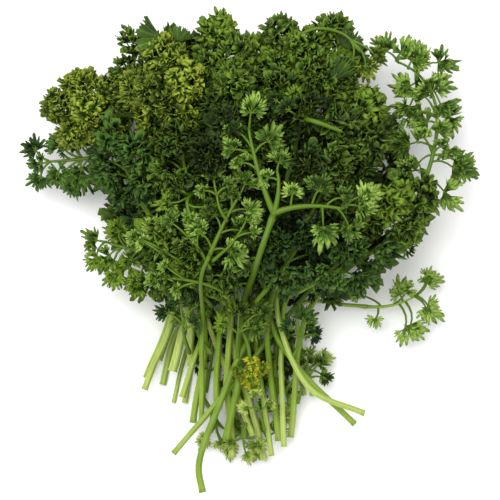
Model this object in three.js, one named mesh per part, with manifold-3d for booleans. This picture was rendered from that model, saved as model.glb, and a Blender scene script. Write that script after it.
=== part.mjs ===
// A bunch of curly parsley, cut and lying on a table: leafy stems side by side, gathered at the waist,
// their curled fronds packed into one dense crown, and a few young leaves left low among the cut stalks.
// Units are millimetres. +Y runs from the cut ends to the crown, +Z is up, and the table is z = 0.
import * as THREE from "three";
import Module from "manifold-3d";

// ---- Driving dimensions ----
const stalkRadius = 1.9; // corner radius at the cut end
const forkRadius = 1.35; // where the stalk first forks, and the frond's rachis there
const armTipRadius = 1;
const stalkSides = 5;
const stalkSteps = 11;
const armSides = 4;
const armSteps = 4;
const nodeGap = 0.5; // left between a stalk and the frond that it carries
const clearance = 0.35; // kept between the pieces of different nodes

const waist = { x: -6, y: -30, z: 16, shareX: 0.41, shareZ: 0.25 }; // shares of the crown's spread there
const crownCore = new THREE.Vector3(0, 34, 36); // the fronds face away from this point
const faceUp = 30; // and this much further up, or down where they lie below it
const flattening = 0.45; // of the rise of a frond's rachis, kept as it lies over the others

const bladeThickness = 1.1;
const bladeCup = 0.4; // rise of a leaflet's rim over its root, as a share of its radius
const bladeRuffle = 0.15; // height of the ruffle at the rim, as a share of the radius
const rimSpread = THREE.MathUtils.degToRad(140); // the leaflet's fan reaches this far to each side
const rimRadii = [0.9, 0.68, 1.04, 0.6, 1.14, 0.6, 1.04, 0.68, 0.9]; // tips and notches in turn
const petioleWidth = 1.1;
const petioleSink = 0.1; // how far a leaflet's petiole reaches past the middle of the arm that it grows from
const smallestRoom = 2.4; // a leaflet with less room round its root than this is left out
const carrierRoom = 4; // a blade may lie over what carries it where its root is nearer to it than this

const stalkSamples = 48; // points on each stalk that push against the other stalks' points as they settle
const armSamples = 8;
const settlingRounds = 120;
const stalkSpacing = 1.9; // clear space sought between stalks
const looseAfter = 6; // a stalk gives way more and more over this many points below its fork
const stalkFloor = 1.4; // the lowest that a stalk's middle line settles
const pushShare = 0.3; // of a missing distance, made up in one round
const leafRounds = 30;
const leafSpacing = 0.66; // distance sought between leaflets' roots, as a share of their radii together
const leafFloor = 2.5; // the lowest that a leaflet's root settles
const rodRoom = 4.2; // distance sought between a leaflet's root and a foreign rod's surface
const mergeWithin = 0.15; // points of a fused frond closer than this to a straight edge are merged into it
const petioleMoves = [0, 0.12, -0.12, 0.25, -0.25, 0.4, -0.4]; // shares of the arm, tried in this order

// Fronds: arms are curves of three points, and a leaflet is [arm, share along it where its petiole leaves,
// forward, sideways, upward, radius]. All but the first two are shares of the frond's reach. The splay is how
// much the leaflets face away from the frond's middle.
const habits = {
  dense: {
    splay: 0.5,
    arms: [[[-0.85, 0, 0], [-0.2, 0, 0.06], [0.42, 0, 0]]],
    leaflets: [
      [0, 1, 0.74, 0, 0.02, 0.62],
      [0, 0.6, 0.26, 0.62, 0.04, 0.62],
      [0, 0.66, 0.26, -0.62, 0.04, 0.62],
      [0, 0.14, -0.5, 0.56, 0, 0.64],
      [0, 0.2, -0.5, -0.56, 0, 0.64],
      [0, 0.45, 0, 0, 0.46, 0.6],
    ],
  },
  under: {
    splay: 0.5,
    arms: [[[-0.85, 0, 0], [-0.2, 0, 0.06], [0.42, 0, 0]]],
    leaflets: [
      [0, 1, 0.74, 0, 0.02, 0.64],
      [0, 0.6, 0.16, 0.62, 0.1, 0.64],
      [0, 0.66, 0.16, -0.62, 0.1, 0.64],
      [0, 0.14, -0.6, 0.46, 0, 0.6],
      [0, 0.2, -0.6, -0.46, 0, 0.6],
    ],
  },
  open: {
    splay: 0.2,
    arms: [[[-0.85, 0, 0], [0, 0.06, 0.08], [0.8, 0, 0]]],
    leaflets: [
      [0, 1, 1, 0.02, 0, 0.34],
      [0, 0.74, 0.62, 0.3, 0.03, 0.38],
      [0, 0.68, 0.52, -0.34, 0.03, 0.38],
      [0, 0.4, 0.06, 0.4, 0, 0.42],
      [0, 0.34, -0.02, -0.42, 0, 0.42],
      [0, 0.08, -0.5, 0.42, 0.03, 0.42],
      [0, 0.02, -0.54, -0.42, 0.03, 0.42],
    ],
  },
  sparse: {
    splay: 0.2,
    arms: [[[-0.85, 0, 0], [-0.1, -0.1, 0.04], [0.5, 0.24, 0]]],
    leaflets: [
      [0, 1, 0.76, 0.62, 0, 0.4],
      [0, 0.96, 0.74, -0.14, 0.02, 0.38],
      [0, 0.7, 0.04, 0.28, 0.02, 0.36],
      [0, 0.62, 0.14, -0.66, 0, 0.44],
      [0, 0.2, -0.66, -0.36, 0, 0.24],
      [0, 0.02, -1.05, 0.34, 0, 0.34],
    ],
  },
  forked: {
    splay: 0.15,
    arms: [
      [[-0.85, 0, 0], [-0.5, -0.12, 0.03], [-0.25, -0.05, 0.02]],
      [[-0.82, -0.01, 0], [-0.66, -0.36, 0.02], [-0.76, -0.92, 0]],
      [[-0.82, -0.01, 0], [-0.3, 0.22, 0.02], [0.3, 0.32, 0]],
    ],
    leaflets: [
      [2, 1, 0.48, 0.34, 0, 0.24],
      [2, 0.7, 0.12, 0.06, 0.02, 0.22],
      [2, 0.62, 0.04, 0.52, 0, 0.22],
      [0, 1, -0.16, -0.1, 0.03, 0.22],
      [1, 0.55, -0.5, -0.62, 0.02, 0.24],
      [1, 1, -0.74, -1.12, 0, 0.24],
      [1, 0.7, -1, -0.66, 0, 0.24],
      [1, 0.9, -0.98, -1, 0, 0.2],
    ],
  },
  arch: {
    splay: 0.25,
    arms: [[[-0.95, 0.12, 0], [0.6, -0.5, 0.1], [0.98, 0.5, 0]]],
    leaflets: [
      [0, 1, 1.12, 0.64, 0, 0.26],
      [0, 0.9, 0.98, 0.26, 0.03, 0.28],
      [0, 0.84, 0.96, -0.14, 0, 0.25],
      [0, 0.64, 0.4, -0.01, 0.11, 0.38],
      [0, 0.46, 0.06, 0.06, 0.05, 0.3],
      [0, 0.56, 0.16, -0.24, -0.04, 0.24],
      [0, 0.3, -0.24, 0.22, 0.02, 0.34],
      [0, 0.2, -0.6, -0.36, 0, 0.27],
      [0, 0.12, -0.62, 0.26, 0, 0.28],
      [0, 0.04, -0.96, -0.22, 0.03, 0.3],
    ],
  },
  young: {
    splay: 0.3,
    arms: [[[-2.2, -0.3, -0.1], [-1.2, 0.2, 0], [0, 0, 0]]],
    leaflets: [
      [0, 1, 0.5, 0, 0, 0.5],
      [0, 0.75, 0, 0.62, 0.1, 0.46],
      [0, 0.8, 0, -0.62, 0.1, 0.46],
    ],
  },
};

// Leafy stems: the middle of the frond, its reach, and the cut end of the stalk. Some name a habit other than
// dense, the way that the rachis heads, the way that the frond faces, a point where the stalk is bent, or the
// point where it passes the waist.
const sprigs = [
  {
    head: [-87, 75, 38], reach: 19, end: [-58, -76, 10], bend: [-54, -65, 10],
    heading: [-1, 0.15, 0], facing: [-0.3, 0.1, 1], look: "yellow",
  },
  {
    head: [-91, 50, 24], reach: 22, end: [-57, -70, 4],
    habit: "open", heading: [-1, -0.12, 0], facing: [0, 0, 1], look: "blue",
  },
  {
    head: [-60, 0, 36], reach: 23, end: [-42, -66, 14],
    habit: "open", heading: [-1, 0.25, 0], facing: [0, 0, 1],
  },
  { head: [-51, 97, 42], reach: 19, end: [4, -100, 12], heading: [-0.6, 0.8, 0], facing: [0, 0, 1] },
  { head: [-44, 84, 56], reach: 22, end: [-31, -94, 14], look: "yellow" },
  { head: [-18, 98, 48], reach: 21, end: [6, -115, 10] },
  { head: [14, 97, 44], reach: 21, end: [-3, -104, 8] },
  { head: [40, 99, 46], reach: 22, end: [57, -95, 12], bend: [27, -64, 18] },
  { head: [-8, 70, 62], reach: 23, end: [-9, -113, 14] },
  { head: [28, 74, 62], reach: 23, end: [-26, -131, 26], bend: [-28, -115, 26] },
  { head: [-66, 44, 50], reach: 23, end: [-31, -63, 10], look: "blue" },
  { head: [-34, 42, 62], reach: 23, end: [-18, -86, 16] },
  { head: [51, 58, 54], reach: 23, end: [62, -89, 18], bend: [31, -74, 25] },
  { head: [75, 18, 44], reach: 24, end: [-42, -110, 24] },
  { head: [40, 36, 60], reach: 23, end: [15, -104, 14] },
  { head: [52, -7, 50], reach: 23, end: [18, -107, 20], look: "blue" },
  { head: [20, -6, 54], reach: 23, end: [12, -112, 16], look: "blue" },
  { head: [-38, -8, 47], reach: 23, end: [-37, -80, 18] },
  {
    head: [-13, 14, 66], reach: 22, end: [-25, -93, 20], gathered: [-25, -40, 34],
    habit: "open", heading: [0.45, 0.9, 0], facing: [0, 0, 1], look: "light",
  },
  {
    head: [12, 52, 77], reach: 40, end: [-14, -102, 20],
    habit: "forked", heading: [0, 1, 0], facing: [0, -0.05, 1], look: "light",
  },
  {
    head: [96, 66, 40], reach: 36, end: [22, -102, 8],
    habit: "arch", heading: [0, 1, 0], facing: [0.1, 0, 1], look: "light",
  },
  {
    head: [81, -30, 14], reach: 20, end: [34, -80, 8],
    habit: "sparse", heading: [1, 0.05, 0], facing: [0, 0, 1], look: "light",
  },
  { head: [-62, 76, 19], reach: 23, end: [-48, -74, 1.4], bend: [-42, -50, 1.4], habit: "under" },
  { head: [-22, 86, 19], reach: 24, end: [-20, -88, 1.4], bend: [-18, -56, 1.4], habit: "under" },
  { head: [24, 84, 19], reach: 24, end: [0, -104, 1.4], bend: [0, -58, 1.4], habit: "under" },
  { head: [62, 46, 19], reach: 24, end: [14, -96, 1.4], bend: [14, -58, 1.4], habit: "under" },
  { head: [-56, 16, 18], reach: 24, end: [-36, -84, 1.4], bend: [-31, -54, 1.4], habit: "under" },
];

// Young and old leaves on short stalks of their own, low among the cut stalks.
const lowLeaves = [
  { name: "young_leaf_01", head: [-31, -34, 28], reach: 11, heading: [-0.3, 1, 0], look: "green" },
  { name: "young_leaf_02", head: [35, -63, 9], reach: 11, heading: [0.8, 0.6, 0], look: "young" },
  { name: "young_leaf_03", head: [-18, -100, 5], reach: 10, heading: [0.3, -1, 0], look: "young" },
  { name: "old_leaf", head: [0, -64, 28], reach: 10, heading: [0.1, -1, 0], look: "old" },
];

const looks = {
  stem: { color: 0x7f9a3c, roughness: 0.5 },
  green: { color: 0x49661f, roughness: 0.65 },
  yellow: { color: 0x6f8030, roughness: 0.65 },
  blue: { color: 0x3b5626, roughness: 0.65 },
  light: { color: 0x66873a, roughness: 0.6 },
  young: { color: 0x7d9147, roughness: 0.65 },
  old: { color: 0xb3a52c, roughness: 0.7 },
};

const wasm = await Module();
wasm.setup();
const { Manifold, Mesh } = wasm;

const { clamp, lerp } = THREE.MathUtils;
const vec = (list) => new THREE.Vector3(...list);

// The part of a vector at right angles to an axis, made a unit vector.
function squareTo(axis, vector) {
  return vector.clone().addScaledVector(axis, -vector.dot(axis)).normalize();
}

// ---- Layout ----
// A plant is a leafy stem of the bunch or a low leaf. Its stalk runs from the cut end to the fork, its arms
// are the rachis and branches beyond, and its leaflets stand on the arms by petioles.

function waistPoint([x, , z]) {
  const rise = (z - crownCore.z) * waist.shareZ;
  return new THREE.Vector3(waist.x + x * waist.shareX, waist.y, waist.z + rise);
}

// A frond's frame: a point is given by its shares of the reach forward, sideways and up from the middle.
function frondFrame({ head, reach, heading, facing }) {
  const middle = vec(head);
  const fromWaist = middle.clone().sub(waistPoint(head));
  const forward = (heading ? vec(heading) : fromWaist.setZ(flattening * fromWaist.z)).normalize();
  const outward = middle.clone().sub(crownCore);
  outward.z += Math.sign(outward.z) * faceUp;
  const up = squareTo(forward, facing ? vec(facing) : outward);
  const side = new THREE.Vector3().crossVectors(up, forward);
  const turn = ([f, s, u]) =>
    forward.clone().multiplyScalar(f).addScaledVector(side, s).addScaledVector(up, u);
  return { turn, at: (shares) => turn(shares).multiplyScalar(reach).add(middle) };
}

function armCurve(frame, arm) {
  return new THREE.QuadraticBezierCurve3(...arm.map(frame.at));
}

// A stalk's first line: from its cut end through the waist to the fork, where it runs into the first arm.
function stalkPoints({ head, reach, end, bend, gathered, arms }) {
  const fork = arms[0].getPoint(0);
  const lead = fork.clone().addScaledVector(arms[0].getTangent(0), -0.5 * reach);
  const middle = gathered ? vec(gathered) : waistPoint(head);
  const points = [vec(end), ...(bend ? [vec(bend)] : []), middle, lead, fork];
  return new THREE.CatmullRomCurve3(points, false, "centripetal").getSpacedPoints(stalkSamples - 1);
}

// Stalks that lie too close are pushed apart, and each push is smoothed along the stalk. Arms stay put, and
// so does the top of a stalk, which runs into its arms.
function settleStalks(plants) {
  const sought = 2 * stalkRadius + stalkSpacing;
  const armPoints = ({ arms }) => arms.flatMap((arm) => arm.getSpacedPoints(armSamples - 1));
  const samples = plants.map((plant) => [...plant.stalk, ...armPoints(plant)]);
  const shifts = plants.map(({ stalk }) => stalk.map(() => new THREE.Vector3()));
  const looseness = (k) => clamp((stalkSamples - 1 - k) / looseAfter, 0, 1);
  const push = new THREE.Vector3();
  for (let round = 0; round < settlingRounds; round++) {
    const moved = (p, shift) => (shift ? p.clone().add(shift) : p);
    const places = samples.map((line, i) => line.map((p, k) => moved(p, shifts[i][k])));
    for (let i = 0; i < plants.length; i++) {
      for (let j = i + 1; j < plants.length; j++) {
        places[i].forEach((p, a) => {
          places[j].forEach((q, b) => {
            const apart = Math.max(p.distanceTo(q), 0.01);
            if (apart >= sought) return;
            push.subVectors(p, q).multiplyScalar((pushShare * (sought - apart)) / apart);
            shifts[i][a]?.addScaledVector(push, looseness(a));
            shifts[j][b]?.addScaledVector(push, -looseness(b));
          });
        });
      }
    }
    shifts.forEach((shift, i) => smoothShifts(shift, plants[i].stalk));
  }
  plants.forEach(({ stalk }, i) => stalk.forEach((p, k) => p.add(shifts[i][k])));
}

function smoothShifts(shift, stalk) {
  const old = shift.map((s) => s.clone());
  shift.slice(0, -1).forEach((s, k) => {
    s.multiplyScalar(0.5).addScaledVector(old[Math.max(k - 1, 0)], 0.25).addScaledVector(old[k + 1], 0.25);
    s.z = Math.max(s.z, stalkFloor - stalk[k].z);
  });
}

function everyNth(points, steps) {
  const last = points.length - 1;
  return Array.from({ length: steps + 1 }, (_, k) => points[Math.round((k * last) / steps)]);
}

function pointAlong(points, share) {
  const place = share * (points.length - 1);
  const k = Math.min(Math.floor(place), points.length - 2);
  return points[k].clone().lerp(points[k + 1], place - k);
}

// ---- Rods: the straight lengths of stalks, arms and petioles, for keeping one plant clear of another ----

function rodsOf(plant, owner) {
  const along = (points, radius, inFrond) =>
    points.slice(1).map((end, k) => ({ start: points[k], end, radius, owner, inFrond }));
  return [
    ...along(plant.stalkLine, stalkRadius, false),
    ...plant.armLines.flatMap((line) => along(line, forkRadius, true)),
  ];
}

function nearestOn({ start, end }, point) {
  return new THREE.Line3(start, end).closestPointToPoint(point, true, new THREE.Vector3());
}

// The clear space between two rods, found by going from each to the nearest point of the other in turn.
function gapBetween(one, other) {
  let point = one.start.clone().lerp(one.end, 0.5);
  let across = point;
  for (let turn = 0; turn < 12; turn++) {
    across = nearestOn(other, point);
    point = nearestOn(one, across);
  }
  return point.distanceTo(across) - one.radius - other.radius;
}

// ---- Leaflets ----

// A leaflet has a root and faces up out of its frond and away from the frond's middle.
function plannedLeaflets({ plan, frame, reach, armLines }, owner) {
  return plan.leaflets.map(([arm, share, f, s, u, size]) => {
    const outward = frame.turn([f, s, u]).normalize();
    const normal = frame.turn([0, 0, 1]).addScaledVector(outward, plan.splay).normalize();
    return { owner, armLine: armLines[arm], share, root: frame.at([f, s, u]), radius: size * reach, normal };
  });
}

// Roots that lie too close to each other, or to a stalk or a foreign arm, move apart a little in each round.
function settleLeaflets(leaflets, rods) {
  const away = new THREE.Vector3();
  for (let round = 0; round < leafRounds; round++) {
    const shifts = leaflets.map(() => new THREE.Vector3());
    leaflets.forEach((leaf, i) => {
      leaflets.forEach((other, j) => {
        const sought = leafSpacing * (leaf.radius + other.radius);
        const apart = leaf.root.distanceTo(other.root);
        if (i === j || apart >= sought) return;
        away.subVectors(leaf.root, other.root);
        shifts[i].addScaledVector(away, (pushShare * (sought - apart)) / apart);
      });
      rods.forEach((rod) => {
        if (rod.inFrond && rod.owner === leaf.owner) return;
        away.subVectors(leaf.root, nearestOn(rod, leaf.root));
        const sought = rod.radius + rodRoom;
        const apart = Math.max(away.length(), 0.01);
        if (apart < sought) shifts[i].addScaledVector(away, (pushShare * (sought - apart)) / apart);
      });
    });
    leaflets.forEach((leaf, i) => {
      leaf.root.add(shifts[i]);
      leaf.root.z = Math.max(leaf.root.z, leafFloor);
    });
  }
}

// A petiole leaves its arm near the planned place, wherever it clears the rods outside its own frond.
function placePetiole(leaf, rods) {
  const foreign = rods.filter((rod) => rod.owner !== leaf.owner || !rod.inFrond);
  for (const move of petioleMoves) {
    const start = pointAlong(leaf.armLine, clamp(leaf.share + move, 0.08, 0.97));
    const petiole = { start, end: leaf.root, radius: petioleWidth / 2, owner: leaf.owner, inFrond: true };
    if (foreign.every((rod) => gapBetween(petiole, rod) > clearance)) return petiole;
  }
  return null;
}

// The room of a leaflet: for each neighbour a plane between the two, as a direction and a distance from its
// root. Its blade stays on the near side of them all.
function roomOf(leaf, leaflets, rods) {
  const planes = [];
  const keep = (towards, distance) => planes.push({ way: towards.normalize(), distance });
  const half = (bladeThickness + clearance) / 2;
  for (const other of leaflets) {
    const between = other.root.clone().sub(leaf.root);
    const apart = between.length();
    if (other === leaf || apart > 1.3 * (leaf.radius + other.radius)) continue;
    keep(between, (apart * leaf.radius) / (leaf.radius + other.radius) - half);
  }
  for (const rod of rods) {
    const between = nearestOn(rod, leaf.root).sub(leaf.root);
    const apart = between.length();
    const carrier = rod.inFrond && rod.owner === leaf.owner && apart < rod.radius + carrierRoom;
    if (carrier || apart > 1.3 * leaf.radius + rod.radius) continue;
    keep(between, apart - rod.radius - half - clearance / 2);
  }
  return planes;
}

// The rim of a leaflet's middle surface: tips and notches in turn round the root, cupped and ruffled, each as
// far out as the leaflet's room allows.
function bladeRim(leaf) {
  const along = squareTo(leaf.normal, leaf.root.clone().sub(leaf.petiole.start));
  const across = new THREE.Vector3().crossVectors(leaf.normal, along);
  return rimRadii.map((share, j) => {
    const angle = rimSpread * ((2 * j) / (rimRadii.length - 1) - 1);
    const lift = bladeCup * share * share + bladeRuffle * (j % 2 ? -1 : 1);
    const spoke = along.clone().multiplyScalar(share * Math.cos(angle))
      .addScaledVector(across, share * Math.sin(angle))
      .addScaledVector(leaf.normal, lift)
      .multiplyScalar(leaf.radius);
    const fits = leaf.room.map(({ way, distance }) => distance / Math.max(spoke.dot(way), 1e-6));
    return spoke.multiplyScalar(Math.min(1, ...fits)).add(leaf.root);
  });
}

// ---- Solids ----

function solid(points, triangles) {
  const mesh = new Mesh({
    numProp: 3,
    vertProperties: new Float32Array(points.flatMap((p) => [p.x, p.y, p.z])),
    triVerts: new Uint32Array(triangles.flat()),
  });
  return new Manifold(mesh);
}

// A round piece through points, its sections square to it, with a flat side kept below.
function tube(points, radiusAt, sides) {
  const last = points.length - 1;
  let up = new THREE.Vector3(0, 0, 1);
  const rings = points.map((p, k) => {
    const ahead = points[Math.min(k + 1, last)].clone().sub(points[Math.max(k - 1, 0)]).normalize();
    if (k === 0 && Math.abs(ahead.z) > 0.9) up.set(0, 1, 0);
    up = squareTo(ahead, up);
    const side = new THREE.Vector3().crossVectors(ahead, up);
    return Array.from({ length: sides }, (_, i) => {
      const angle = (2 * Math.PI * (i + 0.5)) / sides - Math.PI / 2;
      const corner = p.clone()
        .addScaledVector(side, radiusAt(k / last) * Math.cos(angle))
        .addScaledVector(up, radiusAt(k / last) * Math.sin(angle));
      return corner.setZ(Math.max(corner.z, 0));
    });
  });
  const triangles = [];
  for (let k = 0; k < last; k++) {
    for (let i = 0; i < sides; i++) {
      const next = (i + 1) % sides;
      const [a, b, c, d] = [k * sides + i, k * sides + next, (k + 1) * sides + next, (k + 1) * sides + i];
      triangles.push([a, c, b], [a, d, c]);
    }
  }
  for (let i = 1; i < sides - 1; i++) {
    triangles.push([0, i, i + 1], [last * sides, last * sides + i + 1, last * sides + i]);
  }
  return solid(rings.flat(), triangles);
}

// A leaflet: its middle surface, with the petiole that carries it, moved half the thickness to each side.
// What would lie under the table is flattened on it.
function blade(leaf) {
  const { start } = leaf.petiole;
  const { root, normal } = leaf;
  const stretch = root.clone().sub(start).normalize();
  const across = new THREE.Vector3().crossVectors(normal, stretch).setLength(petioleWidth / 2);
  const sunk = start.clone().addScaledVector(stretch, -petioleSink);
  const baseNormal = squareTo(stretch, normal);
  const rim = bladeRim(leaf);
  const outline = [
    { at: root.clone().sub(across), normal },
    ...rim.map((at) => ({ at, normal })),
    { at: root.clone().add(across), normal },
    { at: sunk.clone().add(across), normal: baseNormal },
    { at: sunk.clone().sub(across), normal: baseNormal },
  ];
  const face = (offset) => [{ at: root, normal }, ...outline].map((corner) => {
    const moved = corner.at.clone().addScaledVector(corner.normal, offset);
    return moved.setZ(Math.max(moved.z, 0));
  });
  const count = outline.length;
  const under = count + 1;
  const triangles = [];
  for (let j = 1; j <= count; j++) {
    const next = (j % count) + 1;
    triangles.push([0, j, next], [under, under + next, under + j]);
    triangles.push([j, under + next, next], [j, under + j, under + next]);
  }
  return solid([...face(bladeThickness / 2), ...face(-bladeThickness / 2)], triangles);
}

// ---- Assembly ----

const plants = [...sprigs, ...lowLeaves.map((leaf) => ({ habit: "young", facing: [0, 0, 1], ...leaf }))];
for (const plant of plants) {
  plant.plan = habits[plant.habit ?? "dense"];
  plant.frame = frondFrame(plant);
  plant.arms = plant.plan.arms.map((arm) => armCurve(plant.frame, arm));
  plant.armLines = plant.arms.map((arm) => arm.getSpacedPoints(armSteps));
  plant.stalk = plant.end ? stalkPoints(plant) : [];
}
settleStalks(plants);
for (const plant of plants) plant.stalkLine = plant.end ? everyNth(plant.stalk, stalkSteps) : [];

const rods = plants.flatMap(rodsOf);
const planned = plants.flatMap(plannedLeaflets);
settleLeaflets(planned, rods);

const placed = [];
for (const leaf of planned) {
  leaf.petiole = placePetiole(leaf, rods);
  if (!leaf.petiole) continue;
  rods.push(leaf.petiole);
  placed.push(leaf);
}
for (const leaf of placed) leaf.room = roomOf(leaf, placed, rods);
const leaflets = placed.filter(({ room }) => room.every(({ distance }) => distance > smallestRoom));

const bunch = new THREE.Group();
bunch.name = "parsley_bunch";

function addNode(name, manifold, look) {
  const { vertProperties, triVerts } = manifold.getMesh();
  const geometry = new THREE.BufferGeometry();
  geometry.setAttribute("position", new THREE.BufferAttribute(vertProperties, 3));
  geometry.setIndex(new THREE.BufferAttribute(triVerts, 1));
  const node = new THREE.Mesh(geometry, new THREE.MeshStandardMaterial({ ...looks[look], metalness: 0 }));
  node.name = name;
  bunch.add(node);
}

function stalkSolid({ stalkLine: line }) {
  const top = line.at(-1);
  const gap = line.at(-2).clone().sub(top).setLength(nodeGap);
  const shortened = [...line.slice(0, -1), top.clone().add(gap)];
  return tube(shortened, (t) => lerp(stalkRadius, forkRadius, t), stalkSides);
}

function frondSolid({ armLines }, owner) {
  const arms = armLines.map((line) => tube(line, (t) => lerp(forkRadius, armTipRadius, t), armSides));
  const blades = leaflets.filter((leaf) => leaf.owner === owner).map(blade);
  return Manifold.union([...arms, ...blades]).simplify(mergeWithin);
}

plants.forEach((plant, owner) => {
  const number = String(owner + 1).padStart(2, "0");
  if (plant.end) addNode(`stem_${number}`, stalkSolid(plant), "stem");
  addNode(plant.name ?? `leaf_${number}`, frondSolid(plant, owner), plant.look ?? "green");
});

export default bunch;
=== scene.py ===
import bpy
import numpy as np
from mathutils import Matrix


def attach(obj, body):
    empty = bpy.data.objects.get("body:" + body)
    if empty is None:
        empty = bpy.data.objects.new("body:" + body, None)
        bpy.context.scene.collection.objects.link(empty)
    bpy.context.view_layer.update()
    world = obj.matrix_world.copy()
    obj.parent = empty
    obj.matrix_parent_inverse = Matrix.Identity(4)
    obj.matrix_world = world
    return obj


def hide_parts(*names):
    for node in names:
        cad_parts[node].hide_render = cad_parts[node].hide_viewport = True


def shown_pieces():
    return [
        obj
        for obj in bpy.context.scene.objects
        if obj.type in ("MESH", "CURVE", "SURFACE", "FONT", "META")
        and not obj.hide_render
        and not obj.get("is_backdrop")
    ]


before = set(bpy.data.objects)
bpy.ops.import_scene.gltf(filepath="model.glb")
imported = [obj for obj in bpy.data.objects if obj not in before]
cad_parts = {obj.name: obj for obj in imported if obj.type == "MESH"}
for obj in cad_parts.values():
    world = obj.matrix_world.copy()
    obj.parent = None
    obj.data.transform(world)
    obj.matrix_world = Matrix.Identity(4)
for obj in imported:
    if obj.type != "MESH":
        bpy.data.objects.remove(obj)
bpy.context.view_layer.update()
dice = np.random.default_rng(seed=11)
print("packed model loaded")

# Lengths are millimetres until a mesh is made. +Y runs from the cut ends to the crown, +Z is up.
layout = {  # the rule that places every stalk and leaflet, the same values as the solids have
    "stalkRadius": 1.9, "forkRadius": 1.35, "armTipRadius": 0.7, "stalkSteps": 11, "armSteps": 4,
    "clearance": 0.35, "waist": (-6.0, -30.0, 16.0), "waistShareX": 0.41, "waistShareZ": 0.25,
    "crownCore": (0.0, 34.0, 36.0), "faceUp": 30.0, "flattening": 0.45, "bladeThickness": 1.1,
    "petioleRadius": 0.55, "smallestRoom": 2.4, "carrierRoom": 4.0, "stalkSamples": 48, "armSamples": 8,
    "settlingRounds": 120, "stalkSpacing": 1.9, "looseAfter": 6.0, "stalkFloor": 1.4, "pushShare": 0.3,
    "leafRounds": 30, "leafSpacing": 0.66, "leafFloor": 2.5, "rodRoom": 4.2, "neighbourReach": 1.3,
    "petioleMoves": (0, 0.12, -0.12, 0.25, -0.25, 0.4, -0.4), "petioleSpan": (0.08, 0.97),
    "gapRounds": 12, "lead": 0.5,
}

# A habit is the splay of the leaflets, the arms as curves of three points, and the leaflets as
# (arm, share along it, forward, sideways, upward, radius), in shares of the frond's reach.
habits = {
    "dense": {"splay": 0.5, "arms": [[(-0.85, 0, 0), (-0.2, 0, 0.06), (0.42, 0, 0)]], "leaflets": [
        (0, 1, 0.74, 0, 0.02, 0.62), (0, 0.6, 0.26, 0.62, 0.04, 0.62), (0, 0.66, 0.26, -0.62, 0.04, 0.62),
        (0, 0.14, -0.5, 0.56, 0, 0.64), (0, 0.2, -0.5, -0.56, 0, 0.64), (0, 0.45, 0, 0, 0.46, 0.6)]},
    "under": {"splay": 0.5, "arms": [[(-0.85, 0, 0), (-0.2, 0, 0.06), (0.42, 0, 0)]], "leaflets": [
        (0, 1, 0.74, 0, 0.02, 0.64), (0, 0.6, 0.16, 0.62, 0.1, 0.64), (0, 0.66, 0.16, -0.62, 0.1, 0.64),
        (0, 0.14, -0.6, 0.46, 0, 0.6), (0, 0.2, -0.6, -0.46, 0, 0.6)]},
    "open": {"splay": 0.2, "arms": [[(-0.85, 0, 0), (0, 0.06, 0.08), (0.8, 0, 0)]], "leaflets": [
        (0, 1, 1, 0.02, 0, 0.34), (0, 0.74, 0.62, 0.3, 0.03, 0.38), (0, 0.68, 0.52, -0.34, 0.03, 0.38),
        (0, 0.4, 0.06, 0.4, 0, 0.42), (0, 0.34, -0.02, -0.42, 0, 0.42),
        (0, 0.08, -0.5, 0.42, 0.03, 0.42), (0, 0.02, -0.54, -0.42, 0.03, 0.42)]},
    "sparse": {"splay": 0.2, "arms": [[(-0.85, 0, 0), (-0.1, -0.1, 0.04), (0.5, 0.24, 0)]], "leaflets": [
        (0, 1, 0.76, 0.62, 0, 0.4), (0, 0.96, 0.74, -0.14, 0.02, 0.38), (0, 0.7, 0.04, 0.28, 0.02, 0.36),
        (0, 0.62, 0.14, -0.66, 0, 0.44), (0, 0.2, -0.66, -0.36, 0, 0.24),
        (0, 0.02, -1.05, 0.34, 0, 0.34)]},
    "forked": {"splay": 0.15, "arms": [
        [(-0.85, 0, 0), (-0.5, -0.12, 0.03), (-0.25, -0.05, 0.02)],
        [(-0.82, -0.01, 0), (-0.66, -0.36, 0.02), (-0.76, -0.92, 0)],
        [(-0.82, -0.01, 0), (-0.3, 0.22, 0.02), (0.3, 0.32, 0)]], "leaflets": [
        (2, 1, 0.48, 0.34, 0, 0.24), (2, 0.7, 0.12, 0.06, 0.02, 0.22), (2, 0.62, 0.04, 0.52, 0, 0.22),
        (0, 1, -0.16, -0.1, 0.03, 0.22), (1, 0.55, -0.5, -0.62, 0.02, 0.24),
        (1, 1, -0.74, -1.12, 0, 0.24), (1, 0.7, -1, -0.66, 0, 0.24), (1, 0.9, -0.98, -1, 0, 0.2)]},
    "arch": {"splay": 0.25, "arms": [[(-0.95, 0.12, 0), (0.6, -0.5, 0.1), (0.98, 0.5, 0)]], "leaflets": [
        (0, 1, 1.12, 0.64, 0, 0.26), (0, 0.9, 0.98, 0.26, 0.03, 0.28), (0, 0.84, 0.96, -0.14, 0, 0.25),
        (0, 0.64, 0.4, -0.01, 0.11, 0.38), (0, 0.46, 0.06, 0.06, 0.05, 0.3),
        (0, 0.56, 0.16, -0.24, -0.04, 0.24), (0, 0.3, -0.24, 0.22, 0.02, 0.34),
        (0, 0.2, -0.6, -0.36, 0, 0.27), (0, 0.12, -0.62, 0.26, 0, 0.28), (0, 0.04, -0.96, -0.22, 0.03, 0.3)]},
    "young": {"splay": 0.3, "arms": [[(-2.2, -0.3, -0.1), (-1.2, 0.2, 0), (0, 0, 0)]], "leaflets": [
        (0, 1, 0.5, 0, 0, 0.5), (0, 0.75, 0, 0.62, 0.1, 0.46), (0, 0.8, 0, -0.62, 0.1, 0.46)]},
}

up = (0, 0, 1)
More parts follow.
